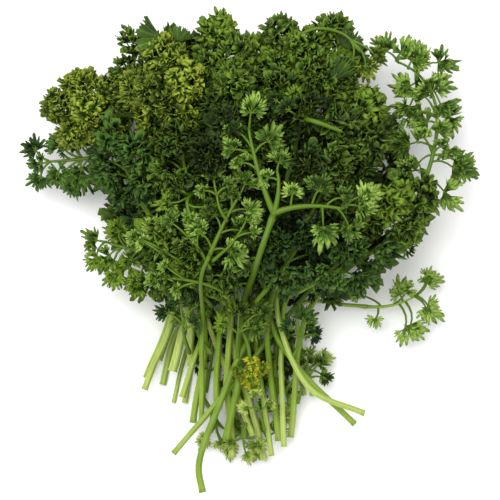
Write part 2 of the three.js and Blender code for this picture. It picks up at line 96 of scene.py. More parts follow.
# Middle of the frond, its reach, the cut end of its stalk, then whatever differs from a dense green frond.
sprigs = [
    dict(head=(-87, 75, 38), reach=19, end=(-58, -76, 10), bend=(-54, -65, 10),
         heading=(-1, 0.15, 0), facing=(-0.3, 0.1, 1), look="yellow"),
    dict(head=(-91, 50, 24), reach=22, end=(-57, -70, 4), habit="open", heading=(-1, -0.12, 0), facing=up,
         look="blue"),
    dict(head=(-60, 0, 36), reach=23, end=(-42, -66, 14), habit="open", heading=(-1, 0.25, 0), facing=up),
    dict(head=(-51, 97, 42), reach=19, end=(4, -100, 12), heading=(-0.6, 0.8, 0), facing=up),
    dict(head=(-44, 84, 56), reach=22, end=(-31, -94, 14), look="yellow"),
    dict(head=(-18, 98, 48), reach=21, end=(6, -115, 10)),
    dict(head=(14, 97, 44), reach=21, end=(-3, -104, 8)),
    dict(head=(40, 99, 46), reach=22, end=(57, -95, 12), bend=(27, -64, 18)),
    dict(head=(-8, 70, 62), reach=23, end=(-9, -113, 14)),
    dict(head=(28, 74, 62), reach=23, end=(-26, -131, 26), bend=(-28, -115, 26)),
    dict(head=(-66, 44, 50), reach=23, end=(-31, -63, 10), look="blue"),
    dict(head=(-34, 42, 62), reach=23, end=(-18, -86, 16)),
    dict(head=(51, 58, 54), reach=23, end=(62, -89, 18), bend=(31, -74, 25)),
    dict(head=(75, 18, 44), reach=24, end=(-42, -110, 24)),
    dict(head=(40, 36, 60), reach=23, end=(15, -104, 14)),
    dict(head=(52, -7, 50), reach=23, end=(18, -107, 20), look="blue"),
    dict(head=(20, -6, 54), reach=23, end=(12, -112, 16), look="blue"),
    dict(head=(-38, -8, 47), reach=23, end=(-37, -80, 18)),
    dict(head=(-13, 14, 66), reach=22, end=(-25, -93, 20), gathered=(-25, -40, 34), habit="open",
         heading=(0.45, 0.9, 0), facing=up, look="light"),
    dict(head=(12, 52, 77), reach=40, end=(-14, -102, 20), habit="forked", heading=(0, 1, 0),
         facing=(0, -0.05, 1), look="light", radii=(1.7, 0.7)),
    dict(head=(96, 66, 40), reach=36, end=(22, -102, 8), habit="arch", heading=(0, 1, 0),
         facing=(0.1, 0, 1), look="light", radii=(1.3, 0.6)),
    dict(head=(81, -30, 14), reach=20, end=(34, -80, 8), habit="sparse", heading=(1, 0.05, 0), facing=up,
         look="light", radii=(1.0, 0.45), stemGreen=0.25),
    dict(head=(-62, 76, 19), reach=23, end=(-48, -74, 1.4), bend=(-42, -50, 1.4), habit="under"),
    dict(head=(-22, 86, 19), reach=24, end=(-20, -88, 1.4), bend=(-18, -56, 1.4), habit="under"),
    dict(head=(24, 84, 19), reach=24, end=(0, -104, 1.4), bend=(0, -58, 1.4), habit="under"),
    dict(head=(62, 46, 19), reach=24, end=(14, -96, 1.4), bend=(14, -58, 1.4), habit="under"),
    dict(head=(-56, 16, 18), reach=24, end=(-36, -84, 1.4), bend=(-31, -54, 1.4), habit="under"),
]
lowLeaves = [
    dict(name="young_leaf_01", head=(-31, -34, 28), reach=11, heading=(-0.3, 1, 0), look="green"),
    dict(name="young_leaf_02", head=(35, -63, 9), reach=11, heading=(0.8, 0.6, 0), look="young"),
    dict(name="young_leaf_03", head=(-18, -100, 5), reach=10, heading=(0.3, -1, 0), look="young"),
    dict(name="old_leaf", head=(0, -64, 28), reach=10, heading=(0.1, -1, 0), look="old"),
]


def unit(v):
    # v divided by its length
    return v / np.maximum(np.linalg.norm(v, axis=-1, keepdims=True), 1e-9)


def squareTo(axis, v):
    # v less its share along axis, made a unit vector
    return unit(v - axis * np.sum(v * axis, axis=-1, keepdims=True))


def spaced(curve, count):
    # count points at equal steps of arc length, read off a table of 200 chords
    t = np.linspace(0, 1, 201)
    lengths = np.append(0, np.cumsum(np.linalg.norm(np.diff(curve(t), axis=0), axis=1)))
    return curve(np.interp(np.linspace(0, lengths[-1], count), lengths, t))


def bezier(p):
    # a smooth arc from the first point to the third, drawn towards the second
    def curve(t):  # (1-t)^2 p0 + 2 t (1-t) p1 + t^2 p2
        t = t[:, None]
        return (1 - t) ** 2 * p[0] + 2 * t * (1 - t) * p[1] + t ** 2 * p[2]

    return curve


def throughPoints(points):
    # centripetal spline: a cubic between two points, its end slopes from the neighbours, each weighed by
    # the square root of the distance between them
    points = np.array(points, float)
    p = np.vstack([2 * points[0] - points[1], points, 2 * points[-1] - points[-2]])
    d = np.linalg.norm(np.diff(p, axis=0), axis=1) ** 0.5

    def curve(t):  # p1 + s1 w + (3 (p2-p1) - 2 s1 - s2) w^2 + (2 (p1-p2) + s1 + s2) w^3
        place = t * (len(points) - 1)
        k = np.minimum(place.astype(int), len(points) - 2)
        w = (place - k)[:, None]
        p0, p1, p2, p3 = p[k], p[k + 1], p[k + 2], p[k + 3]
        a, b, c = d[k][:, None], d[k + 1][:, None], d[k + 2][:, None]
        s1 = b * ((p1 - p0) / a - (p2 - p0) / (a + b) + (p2 - p1) / b)
        s2 = b * ((p2 - p1) / b - (p3 - p1) / (b + c) + (p3 - p2) / c)
        return p1 + s1 * w + (3 * (p2 - p1) - 2 * s1 - s2) * w ** 2 + (2 * (p1 - p2) + s1 + s2) * w ** 3

    return curve


def setUp(plant):
    # the frond's frame (forward, side, up) about its middle: a place is the middle + reach times its shares;
    # its arms, and the stalk's first line from the cut end over the waist to the frond
    head = np.array(plant["head"], float)
    core = np.array(layout["crownCore"])
    waist = np.array(layout["waist"])
    waist += (head[0] * layout["waistShareX"], 0, (head[2] - core[2]) * layout["waistShareZ"])
    fromWaist = (head - waist) * (1, 1, layout["flattening"])
    forward = unit(np.array(plant.get("heading", fromWaist), float))
    outward = head - core
    outward[2] += np.sign(outward[2]) * layout["faceUp"]
    normal = squareTo(forward, np.array(plant.get("facing", outward), float))
    plant["plan"] = habits[plant.get("habit", "dense")]
    plant["basis"] = np.array([forward, np.cross(normal, forward), normal])
    plant["at"] = lambda shares: head + plant["reach"] * (np.array(shares, float) @ plant["basis"])
    plant["arms"] = [bezier(plant["at"](arm)) for arm in plant["plan"]["arms"]]
    plant["armLines"] = [spaced(arm, layout["armSteps"] + 1) for arm in plant["arms"]]
    if "end" in plant:
        fork, onward = plant["at"](plant["plan"]["arms"][0])[:2]
        lead = fork - layout["lead"] * plant["reach"] * unit(onward - fork)
        bend = [plant["bend"]] if "bend" in plant else []
        points = [plant["end"], *bend, plant.get("gathered", waist), lead, fork]
        plant["stalk"] = spaced(throughPoints(points), layout["stalkSamples"])


def settleStalks(plants):
    # points of different plants closer than the sought distance push each other apart by a share of what
    # is missing, and each stalk's shifts are smoothed; arms stay put
    count = layout["stalkSamples"]
    stalks = np.array([p["stalk"] for p in plants if "end" in p])
    arms = [spaced(arm, layout["armSamples"]) for p in plants for arm in p["arms"]]
    armOwners = [i for i, p in enumerate(plants) for _ in p["arms"]]
    places = np.vstack([stalks.reshape(-1, 3), *arms])
    owners = np.append(np.repeat(np.arange(len(stalks)), count), np.repeat(armOwners, layout["armSamples"]))
    loose = np.clip((count - 1 - np.arange(count)) / layout["looseAfter"], 0, 1)
    loose = np.append(np.tile(loose, len(stalks)), np.zeros(len(arms) * layout["armSamples"]))
    foreign = owners[:, None] != owners[None]
    sought = 2 * layout["stalkRadius"] + layout["stalkSpacing"]
    shift = np.zeros_like(places)
    moving = len(stalks) * count
    for _ in range(layout["settlingRounds"]):
        now = places + shift
        square = np.sum(now ** 2, axis=1)
        near = (square[:, None] + square[None] - 2 * now @ now.T < sought ** 2) & foreign
        a, b = np.nonzero(near)
        away = now[a] - now[b]
        apart = np.maximum(np.linalg.norm(away, axis=1), 0.01)
        away *= (layout["pushShare"] * np.maximum(sought - apart, 0) / apart * loose[a])[:, None]
        shift += np.stack([np.bincount(a, away[:, k], len(places)) for k in range(3)], axis=1)
        old = shift[:moving].reshape(-1, count, 3)
        before = np.concatenate([old[:, :1], old[:, :-2]], axis=1)
        smooth = 0.5 * old[:, :-1] + 0.25 * before + 0.25 * old[:, 1:]
        smooth[..., 2] = np.maximum(smooth[..., 2], layout["stalkFloor"] - stalks[:, :-1, 2])
        shift[:moving].reshape(-1, count, 3)[:, :-1] = smooth
    settled = stalks + shift[:moving].reshape(-1, count, 3)
    for plant, line in zip([p for p in plants if "end" in p], settled):
        plant["stalk"] = line


def nearestOn(start, end, point):
    # the nearest point of each straight length: start + share run, with the share of the run that the point
    # lies along, (point - start) . run / run . run, kept from 0 to 1
    run = end - start
    share = np.sum((point - start) * run, axis=-1) / np.maximum(np.sum(run * run, axis=-1), 1e-12)
    return start + np.clip(share, 0, 1)[..., None] * run


def gaps(start, end, radius, rods):
    # clear space between one rod and every rod of a list, going to the nearest point of the other in turn
    point = np.broadcast_to((start + end) / 2, rods["start"].shape)
    for _ in range(layout["gapRounds"]):
        across = nearestOn(rods["start"], rods["end"], point)
        point = nearestOn(start, end, across)
    return np.linalg.norm(point - across, axis=1) - radius - rods["radius"]


def rodsOf(plants):
    # the straight lengths of stalks and arms, each from a point of its line to the next
    rows = []
    count, samples = layout["stalkSteps"], layout["stalkSamples"]
    steps = np.round(np.arange(count + 1) * (samples - 1) / count)
    for owner, plant in enumerate(plants):
        lines = [(line, layout["forkRadius"], True) for line in plant["armLines"]]
        if "end" in plant:
            lines.insert(0, (plant["stalk"][steps.astype(int)], layout["stalkRadius"], False))
        for line, radius, inFrond in lines:
            rows += [(a, b, radius, owner, inFrond) for a, b in zip(line[:-1], line[1:])]
    return {key: np.array([row[k] for row in rows])
            for k, key in enumerate(("start", "end", "radius", "owner", "inFrond"))}


def settleLeaflets(roots, radii, owners, rods):
    # roots too close to each other, or to a foreign rod, move apart a little in each round
    own = rods["inFrond"] & (rods["owner"][None] == owners[:, None])
    for _ in range(layout["leafRounds"]):
        away = roots[:, None] - roots[None]
        apart = np.linalg.norm(away, axis=2) + np.eye(len(roots)) * 1e6
        sought = layout["leafSpacing"] * (radii[:, None] + radii[None])
        push = layout["pushShare"] * np.maximum(sought - apart, 0) / apart
        shift = np.sum(away * push[..., None], axis=1)
        away = roots[:, None] - nearestOn(rods["start"][None], rods["end"][None], roots[:, None])
        apart = np.maximum(np.linalg.norm(away, axis=2), 0.01)
        sought = rods["radius"][None] + layout["rodRoom"]
        push = np.where(own, 0, layout["pushShare"] * np.maximum(sought - apart, 0) / apart)
        roots = roots + shift + np.sum(away * push[..., None], axis=1)
        roots[:, 2] = np.maximum(roots[:, 2], layout["leafFloor"])
    return roots


def placePetiole(leaf, rods):
    # where on its arm a leaflet's petiole starts: the first place tried that clears every foreign rod
    line = leaf["armLine"]
    foreign = (rods["owner"] != leaf["owner"]) | ~rods["inFrond"]
    others = {key: value[foreign] for key, value in rods.items()}
    for move in layout["petioleMoves"]:
        place = np.clip(leaf["share"] + move, *layout["petioleSpan"]) * (len(line) - 1)
        k = min(int(place), len(line) - 2)
        start = line[k] + (place - k) * (line[k + 1] - line[k])
        if np.all(gaps(start, leaf["root"], layout["petioleRadius"], others) > layout["clearance"]):
            return start
    return None


def roomOf(leaf, roots, radii, rods):
    # planes between a leaflet and each neighbour, as directions and distances from its root: two leaflets
    # share the space between their roots as their radii are, less half a blade and half the clearance
    half = (layout["bladeThickness"] + layout["clearance"]) / 2
    far = layout["neighbourReach"]
    between = roots - leaf["root"]
    apart = np.linalg.norm(between, axis=1)
    near = (apart > 1e-6) & (apart <= far * (leaf["radius"] + radii))
    ways = [unit(between[near])]
    distances = [apart[near] * leaf["radius"] / (leaf["radius"] + radii[near]) - half]
    between = nearestOn(rods["start"], rods["end"], leaf["root"]) - leaf["root"]
    apart = np.linalg.norm(between, axis=1)
    carrier = rods["inFrond"] & (rods["owner"] == leaf["owner"])
    carrier &= apart < rods["radius"] + layout["carrierRoom"]
    near = ~carrier & (apart <= far * leaf["radius"] + rods["radius"])
    ways.append(unit(between[near]))
    distances.append(apart[near] - rods["radius"][near] - half - layout["clearance"] / 2)
    return np.vstack(ways), np.concatenate(distances)


# How much lighter or darker a frond is than others of its colour.
tones = {
    2: 0.5, 3: 0.2, 4: -0.1, 5: -0.8, 7: -0.1, 8: -0.1, 9: -0.8, 10: -0.6, 11: -0.4, 12: -0.7, 13: -0.2,
    14: 0.1, 15: -1.0, 16: -0.3, 17: -0.7, 18: -0.3, 19: -1.3, 20: -1.0, 21: -0.7, 22: 1.6, 23: -0.3,
    24: -0.5, 25: -0.5, 26: -0.5, 27: -0.3, 29: -1.4, 31: -0.2,
}
plants = sprigs + [dict(habit="young", facing=up, **leaf) for leaf in lowLeaves]
for number, plant in enumerate(plants, 1):
    plant.setdefault("name", f"leaf_{number:02d}")
    plant.setdefault("look", "green")
    setUp(plant)
settleStalks(plants)
rods = rodsOf(plants)


def column(rows, key):
    # one value of every row, as an array
    return np.array([row[key] for row in rows])


def frondLeaflet(owner, place, size):
    # a leaflet at a place in its frond's frame, facing along the frond's normal + splay times outwards
    plant = plants[owner]
    outward = unit(np.array(place) @ plant["basis"])
    return {"owner": owner, "root": plant["at"](place), "radius": size * plant["reach"],
            "normal": unit(plant["basis"][2] + plant["plan"]["splay"] * outward)}


leaflets = []
for owner, plant in enumerate(plants):
    for arm, share, *place, size in plant["plan"]["leaflets"]:
        leaflets.append({**frondLeaflet(owner, place, size), "share": share,
                         "armLine": plant["armLines"][arm]})
roots = settleLeaflets(column(leaflets, "root"), column(leaflets, "radius"), column(leaflets, "owner"), rods)
placed = []
for leaf, root in zip(leaflets, roots):
    leaf["root"] = root
    leaf["start"] = placePetiole(leaf, rods)
    if leaf["start"] is not None:
        petiole = (leaf["start"], root, layout["petioleRadius"], leaf["owner"], True)
        rods = {key: np.concatenate([rods[key], [value]]) for key, value in zip(rods, petiole)}
        placed.append(leaf)
roots, radii = column(placed, "root"), column(placed, "radius")
for leaf in placed:
    leaf["ways"], leaf["distances"] = roomOf(leaf, roots, radii, rods)
leaflets = [leaf for leaf in placed if np.all(leaf["distances"] > layout["smallestRoom"])]
print(f"{len(plants)} plants and {len(leaflets)} leaflets placed")


def gridFaces(columns, rows, closed):
    # two triangles for each cell of a grid whose points are numbered row by row
    i, j = np.meshgrid(np.arange(columns if closed else columns - 1), np.arange(rows - 1), indexing="ij")
    a, b = j * columns + i, j * columns + (i + 1) % columns
    c, d = b + columns, a + columns
    return np.stack([a, b, c, a, c, d], axis=-1).reshape(-1, 3)


def repeated(faces, count, size):
    # the same triangles for count shapes of size points each
    return (faces[None] + (np.arange(count) * size)[:, None, None]).reshape(-1, 3)


def tubes(paths, radii, reference, sides, ribs=0, ribDepth=0.0):
    # rings square to each path: centre + radius (1 + ribDepth cos(ribs angle)) (cos side + sin top), closed
    # at both ends by a fan round a middle point
    count, steps = paths.shape[:2]
    ahead = unit(np.gradient(paths, axis=1))
    side = unit(np.cross(ahead, reference[:, None]))
    top = np.cross(side, ahead)
    angle = np.arange(sides) * 2 * np.pi / sides
    swell = radii[..., None] * (1 + ribDepth * np.cos(ribs * angle))
    ring = np.cos(angle)[:, None] * side[:, :, None] + np.sin(angle)[:, None] * top[:, :, None]
    rings = (paths[:, :, None] + swell[..., None] * ring).reshape(count, -1, 3)
    points = np.concatenate([rings, paths[:, :1], paths[:, -1:]], axis=1)
    turn = np.arange(sides)
    foot, tip, last = steps * sides, steps * sides + 1, (steps - 1) * sides
    caps = [np.stack([np.full(sides, foot), (turn + 1) % sides, turn], axis=1),
            np.stack([np.full(sides, tip), last + turn, last + (turn + 1) % sides], axis=1)]
    faces = np.vstack([gridFaces(sides, steps, True), *caps])
    along = np.append(np.repeat(np.linspace(0, 1, steps), sides), (0, 1))
    return points, repeated(faces, count, points.shape[1]), np.tile(along, count)


def newObject(name, data):
    # an object of these data, unturned at the origin, in the scene
    made = bpy.data.objects.new(name, data)
    bpy.context.scene.collection.objects.link(made)
    return made


def makePiece(name, parts, materials, look, nodes=()):
    # parts are (points, triangles, attributes, material number) joined into one mesh in metres, nothing of
    # it below the floor, that replaces its nodes
    shapes = [part[0].reshape(-1, 3) for part in parts]
    points = np.vstack(shapes)
    points[:, 2] = np.maximum(points[:, 2], 0)
    starts = np.cumsum([0] + [len(shape) for shape in shapes[:-1]])
    faces = np.vstack([part[1] + start for part, start in zip(parts, starts)])
    mesh = bpy.data.meshes.new(name)
    mesh.vertices.add(len(points))
    mesh.vertices.foreach_set("co", (points * 0.001).ravel())
    mesh.loops.add(faces.size)
    mesh.loops.foreach_set("vertex_index", faces.ravel())
    mesh.polygons.add(len(faces))
    mesh.polygons.foreach_set("loop_start", np.arange(0, faces.size, 3))
    numbers = np.concatenate([np.full(len(part[1]), part[3]) for part in parts])
    mesh.polygons.foreach_set("material_index", numbers)
    mesh.polygons.foreach_set("use_smooth", np.ones(len(faces), bool))
    for key in parts[0][2]:
        values = np.concatenate([part[2][key].ravel() for part in parts])
        mesh.attributes.new(key, "FLOAT", "POINT").data.foreach_set("value", values.astype(np.float32))
    mesh.update(calc_edges=True)
    mesh.validate()
    for material in materials:
        mesh.materials.append(material)
    piece = newObject(name, mesh)
    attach(piece, "root")
    if nodes:
        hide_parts(*nodes)


fullTurn = 6.283  # the range of a random phase, in radians
# A blade is a small fan with lobes along its rim. The rim gives its reach at each column; ranges are drawn
# anew for each blade: half the fan's spread in degrees, and its lifts in shares of its length.
lobed = {"rim": (0.82, 0.98, 0.56, 1.0, 1.14, 1.0, 0.56, 0.98, 0.82), "rows": 3, "jag": 0.08,
         "thickness": 0.4, "rowPower": 0.85, "twist": 0.12, "waves": (1.2, 2.2)}
blades = {
    "fan": {**lobed, "spread": (34, 54), "foot": 0.1, "cup": (-0.1, 0.4), "fold": (-0.25, 0.4),
            "ruffle": (0.1, 0.26), "crimp": 0.05},
    "leaf": {**lobed, "rim": (0.7, 0.9, 0.92, 0.6, 1.0, 1.14, 1.0, 0.6, 0.92, 0.9, 0.7), "jag": 0.06,
             "spread": (24, 34), "paleFoot": 0.45, "foot": 0.07, "cup": (-0.25, 0.1), "fold": (-0.2, 0.3),
             "ruffle": (0.03, 0.1), "crimp": 0.03},
    "scallop": {**lobed, "spread": (38, 58), "foot": 0.14, "cup": (-0.35, 0.15), "fold": (-0.4, 0.3),
                "ruffle": (0.1, 0.24), "crimp": 0.06},
    "frill": {**lobed, "spread": (34, 54), "foot": 0.14, "cup": (-0.2, 0.5), "fold": (-0.3, 0.5),
              "ruffle": (0.14, 0.32), "waves": (1.4, 2.6), "crimp": 0.06},
    # a broad leaf's rim has a notch at every second column and a deep one at every tenth
    "broad": {**lobed, "rim": tuple(1 - 0.1 * (k % 2) - 0.2 * (k % 10 == 5) for k in range(31)), "rows": 6,
              "spread": (54, 66), "thickness": 0.5, "foot": 0.05, "cup": (-0.3, -0.1), "fold": (-0.2, 0.1),
              "ruffle": (0.05, 0.12), "waves": (1.8, 2.8), "crimp": 0.03},
}
# A leaflet's branches as (angle round its root in degrees, share of its radius), and the fans that each
# branch carries as (share along it, turn, least and greatest rise in degrees, length).
sprays = {
    "curled": {"branches": ((0, 1.0), (-66, 1.0), (66, 1.0), (-132, 0.8), (132, 0.8)),
               "fans": ((0.12, 0, 0, 24, 0.72), (0.5, 20, -4, 22, 0.5), (0.4, -34, 0, 36, 0.46))},
    "leafy": {"branches": ((0, 1.05), (-50, 1.0), (50, 1.0), (-100, 0.9), (100, 0.9), (-150, 0.7),
                           (150, 0.7)),
              "fans": ((0.34, 0, -6, 36, 0.66), (0.4, 42, 16, 60, 0.44), (0.4, -42, 16, 60, 0.44),
                       (0.14, 20, 44, 84, 0.44), (0.6, 10, 30, 76, 0.38))},
    "loose": {"branches": ((0, 1.25), (-40, 1.15), (40, 1.15), (-80, 0.85), (80, 0.85)),
              "fans": ((0.05, 0, -12, 16, 1.04), (0.34, 26, 6, 40, 0.56), (0.3, -26, 10, 50, 0.5))},
    "side": {"branches": ((0, 1.1), (-54, 1.0), (54, 1.0), (-108, 0.8), (108, 0.8)),
             "fans": ((0.16, 0, -6, 30, 0.86), (0.3, 44, 10, 50, 0.46), (0.3, -44, 30, 70, 0.42))},
}
branching = {"bow": 0.3, "branchSwing": 9.0, "fanSwing": 14.0, "roll": 26.0, "left": 0.92,
             "size": (0.72, 1.2), "ribReach": 0.92}
domedFronds = (1, 5, 6, 7, 8, 9, 13, 14)
# Curls stand all over the dome of such a frond's leaflet, with sizes in shares of its radius, each turned
# by the golden angle from the last; every second one stands steeper.
dome = {"curls": 46, "turn": 2.39996, "wide": (0.72, 0.9), "high": (0.48, 0.7), "lift": 0.06, "reach": 106,
        "length": (0.34, 0.54), "sunk": 0.55, "scale": (0.8, 1.0), "uneven": (0.78, 1.08),
        "scallopRise": (10, 50), "frillRise": (44, 86)}


def fansOf(numbers, shape):
    # along each branch, out = cos a along + sin a across, a fan stands at root + R share out + R bow share^2
    # normal, and grows by cos rise way + sin rise normal, its way turned a little from the branch's;
    # and the end of each branch's rib, where its farthest fan stands
    sideways, upward = frames[numbers, None, 1], frames[numbers, None, 2]
    size = radiiOf[numbers, None]
    angle, reach = np.array(shape["branches"]).T
    share, *settings = np.array(shape["fans"]).T
    turn, low, high, length = (np.tile(row, len(angle)) for row in settings)
    branch = np.radians(angle + dice.normal(0, branching["branchSwing"], (len(numbers), len(angle))))

    def out(a):  # cos a along + sin a across
        return np.cos(a)[..., None] * frames[numbers, None, 0] + np.sin(a)[..., None] * sideways

    def place(a, far):  # R far out + R bow far^2 normal, from the root
        return out(a) * (size * far)[..., None] + upward * (size * branching["bow"] * far ** 2)[..., None]

    ends = centres[numbers, None] + place(branch, branching["ribReach"] * reach * share.max())
    along = np.repeat(branch, len(share), axis=1)
    way = along + np.radians(turn + dice.normal(0, branching["fanSwing"], along.shape))
    rise = np.radians(dice.uniform(low, high, along.shape))[..., None]
    grow = np.cos(rise) * out(way) + np.sin(rise) * upward
    face = np.cos(rise) * upward - np.sin(rise) * out(way)
    roll = np.radians(dice.normal(0, branching["roll"], along.shape))[..., None]
    face = np.cos(roll) * face + np.sin(roll) * np.cross(grow, face)
    span = size * (np.repeat(reach, len(share)) ** 0.5 * length)
    span = span * dice.uniform(*branching["size"], along.shape)
    left = dice.uniform(0, 1, along.shape) < branching["left"]
    starts = centres[numbers, None] + place(along, (reach[:, None] * share).ravel())
    leafOf = np.repeat(numbers[:, None], along.shape[1], axis=1)
    return (leafOf[left], starts[left], grow[left], face[left], span[left],
            np.repeat(numbers, len(angle)), ends.reshape(-1, 3))


def curlsOf(index):
    # curls at even steps of height over a flattened dome, each turned by the golden angle from the last:
    # out = (wide sin a cos b, wide sin a sin b, high cos a), growing aslant to it and facing out
    axesOf, radius, count = frames[index], radiiOf[index], dome["curls"]
    number = np.arange(count)
    fall = 1 - (number + 0.5) / count * (1 - np.cos(np.radians(dome["reach"])))
    turn = number * dome["turn"] + dice.uniform(0, fullTurn)
    flat = np.sqrt(1 - fall ** 2)
    ball = np.stack([flat * np.cos(turn), flat * np.sin(turn), fall], axis=1)
    axes = (dice.uniform(*dome["wide"]), dice.uniform(*dome["wide"]), dice.uniform(*dome["high"]))
    skin = ball * axes * dice.uniform(*dome["uneven"], (count, 1)) * dice.uniform(*dome["scale"])
    outward = unit(ball / axes) @ axesOf
    place = centres[index] + radius * (skin @ axesOf + dome["lift"] * normals[index])
    tangent = squareTo(outward, dice.normal(0, 1, (count, 3)))
    low, high = (dice.uniform(*dome[kind], (count, 1)) for kind in ("scallopRise", "frillRise"))
    rise = np.radians(np.where(number[:, None] % 2, high, low))
    grow = np.cos(rise) * tangent + np.sin(rise) * outward
    length = radius * dice.uniform(*dome["length"], (count, 1))
    return place - dome["sunk"] * length * grow, grow, squareTo(grow, outward), length[:, 0]


def bladeSurface(shape, starts, grow, face, lengths):
    # u runs across the fan and v from foot to rim: start + L r(u) v (cos a grow + sin a side), with
    # a = spread u, lifted by L (cup v^2 + fold v u^2 + ruffle v^2 sin(waves pi u + phase) + crimp v^3 tooth);
    # both faces stand half the thickness off it and meet along the outline
    count = len(starts)
    columns, rows = len(shape["rim"]), shape["rows"]
    u = np.linspace(-1, 1, columns)[None, None]
    v = np.linspace(0, 1, rows)[None, :, None] ** shape["rowPower"]

    def each(low, high):  # one draw for each blade
        return dice.uniform(low, high, (count, 1, 1))

    def both(upper, lower):  # the upper face's points, then the lower one's inside the outline
        inside = lower[:, 1:-1, 1:-1].reshape(count, (rows - 2) * (columns - 2), -1)
        return np.concatenate([upper.reshape(count, rows * columns, -1), inside], axis=1)

    reach = np.array(shape["rim"]) * (1 + dice.uniform(-shape["jag"], shape["jag"], (count, 1, columns)))
    angle = np.radians(each(*shape["spread"])) * u + shape["twist"] * each(-1, 1) * v
    tooth = np.where(reach > 0.8, 1.0, -1.0)  # out at a lobe's tip, in at a cleft
    lift = (each(*shape["cup"]) * v ** 2 + each(*shape["fold"]) * v * u ** 2
            + each(*shape["ruffle"]) * v ** 2 * np.sin(each(*shape["waves"]) * np.pi * u + each(0, fullTurn))
            + shape["crimp"] * v ** 3 * tooth)
    side = np.cross(face, grow)
    size = lengths[:, None, None]
    out = size * reach * v * np.cos(angle)
    sideways = size * (reach * v * np.sin(angle) + shape["foot"] * u * (1 - v))
    middle = (starts[:, None, None] + out[..., None] * grow[:, None, None]
              + sideways[..., None] * side[:, None, None] + (size * lift)[..., None] * face[:, None, None])
    normal = unit(np.cross(np.gradient(middle, axis=1), np.gradient(middle, axis=2)))
    normal *= np.sign(np.sum(normal * face[:, None, None], axis=-1).mean(axis=(1, 2)))[:, None, None, None]
    depth = (shape["thickness"] / 2 * (1 - u ** 8) * (1 - v ** 6) * (1 - (1 - v) ** 8))[..., None]
    points = both(middle + depth * normal, middle - depth * normal)
    tip = np.broadcast_to(shape.get("paleFoot", 0) * (1 - v) + v, middle.shape[:3])
    vein = np.broadcast_to(tooth, middle.shape[:3]) > 0
    above = np.ones((rows, columns))
    above[[0, -1]] = above[:, [0, -1]] = 0.5
    return points, {
        "tip": both(tip, tip)[..., 0], "vein": both(vein, vein)[..., 0] * 1.0,
        "side": np.tile(np.append(above.ravel(), np.zeros((rows - 2) * (columns - 2))), (count, 1)),
        "tone": np.repeat(dice.uniform(*shade["blade"], count)[:, None], points.shape[1], axis=1),
        "along": np.ones(points.shape[:2])}


def bladeFaces(columns, rows):
    # the upper grid, and the lower grid turned over, which shares the upper one's outline
    upper = gridFaces(columns, rows, False)
    number = np.arange(columns * rows).reshape(rows, columns)
    number[1:-1, 1:-1] = columns * rows + np.arange((columns - 2) * (rows - 2)).reshape(rows - 2, -1)
    return np.vstack([upper, number.ravel()[upper][:, ::-1]])


# Side leaflets; "darker" is how much darker than their frond they are drawn, painted shade under the crown.
sideLeaflets = {
    "count": 200, "radius": (6.0, 10.5), "tries": 60, "away": (4.5, 13.0), "ways": (1, 0.7, 0.8),
    "rodRoom": 2.4, "spacing": 0.5, "lowest": 5.0, "highest": 62.0, "from": -17.0, "fromPoint": 14,
    "splay": 0.7, "swing": 0.2, "darker": 0.8, "stoutRod": 1.0,
}


def sideLeaf(place, radius, among, darker):
    # a leaflet at the place, on a petiole from the nearest point of the rods that it may hang on, facing up
    # and outwards with a little swing, its tone darker than its frond's as painted shade deep in the bunch
    near = nearestOn(rods["start"][among], rods["end"][among], place)
    nearest = np.argmin(np.linalg.norm(near - place, axis=1))
    owner = rods["owner"][among][nearest]
    outward = unit(place - np.array(layout["crownCore"])) * sideLeaflets["splay"]
    return {"owner": owner, "start": near[nearest], "root": place, "radius": radius, "spray": "side",
            "normal": unit(np.array(up) + outward + dice.normal(0, sideLeaflets["swing"], 3)),
            "tone": tones.get(owner + 1, 0.0) - darker}


def addSideLeaflets():
    # small leaflets on short petioles along the upper stalks, wherever random places beside a stalk have
    # room left between the stalks and the leaflets that are there already
    shape = sideLeaflets
    lines = [(owner, point) for owner, plant in enumerate(plants) if "end" in plant
             for point in plant["stalk"][shape["fromPoint"]:] if point[1] > shape["from"]]
    owners = np.repeat([owner for owner, _ in lines], shape["tries"])
    points = np.repeat([point for _, point in lines], shape["tries"], axis=0)
    way = unit(dice.normal(0, 1, points.shape) * shape["ways"])
    points = points + way * dice.uniform(*shape["away"], (len(points), 1))
    radius = dice.uniform(*shape["radius"], len(points))

    def kept(clear):  # the tries that are clear so far
        return owners[clear], points[clear], radius[clear]

    owners, points, radius = kept((points[:, 2] > shape["lowest"]) & (points[:, 2] < shape["highest"]))
    for start, end, thick in zip(rods["start"], rods["end"], rods["radius"]):
        apart = np.linalg.norm(points - nearestOn(start, end, points), axis=1)
        owners, points, radius = kept(apart > thick + shape["rodRoom"])
    for leaf in leaflets:
        apart = np.linalg.norm(points - leaf["root"], axis=1)
        owners, points, radius = kept(apart > shape["spacing"] * (radius + leaf["radius"]))
    added = []
    for pick in dice.permutation(len(points)):
        if len(added) == shape["count"]:
            break
        point, size = points[pick], radius[pick]
        if all(np.linalg.norm(leaf["root"] - point) >= shape["spacing"] * (leaf["radius"] + size)
               for leaf in added):
            own = (rods["owner"] == owners[pick]) & (rods["radius"] > shape["stoutRod"])
            added.append(sideLeaf(point, size, own, shape["darker"]))
    return added


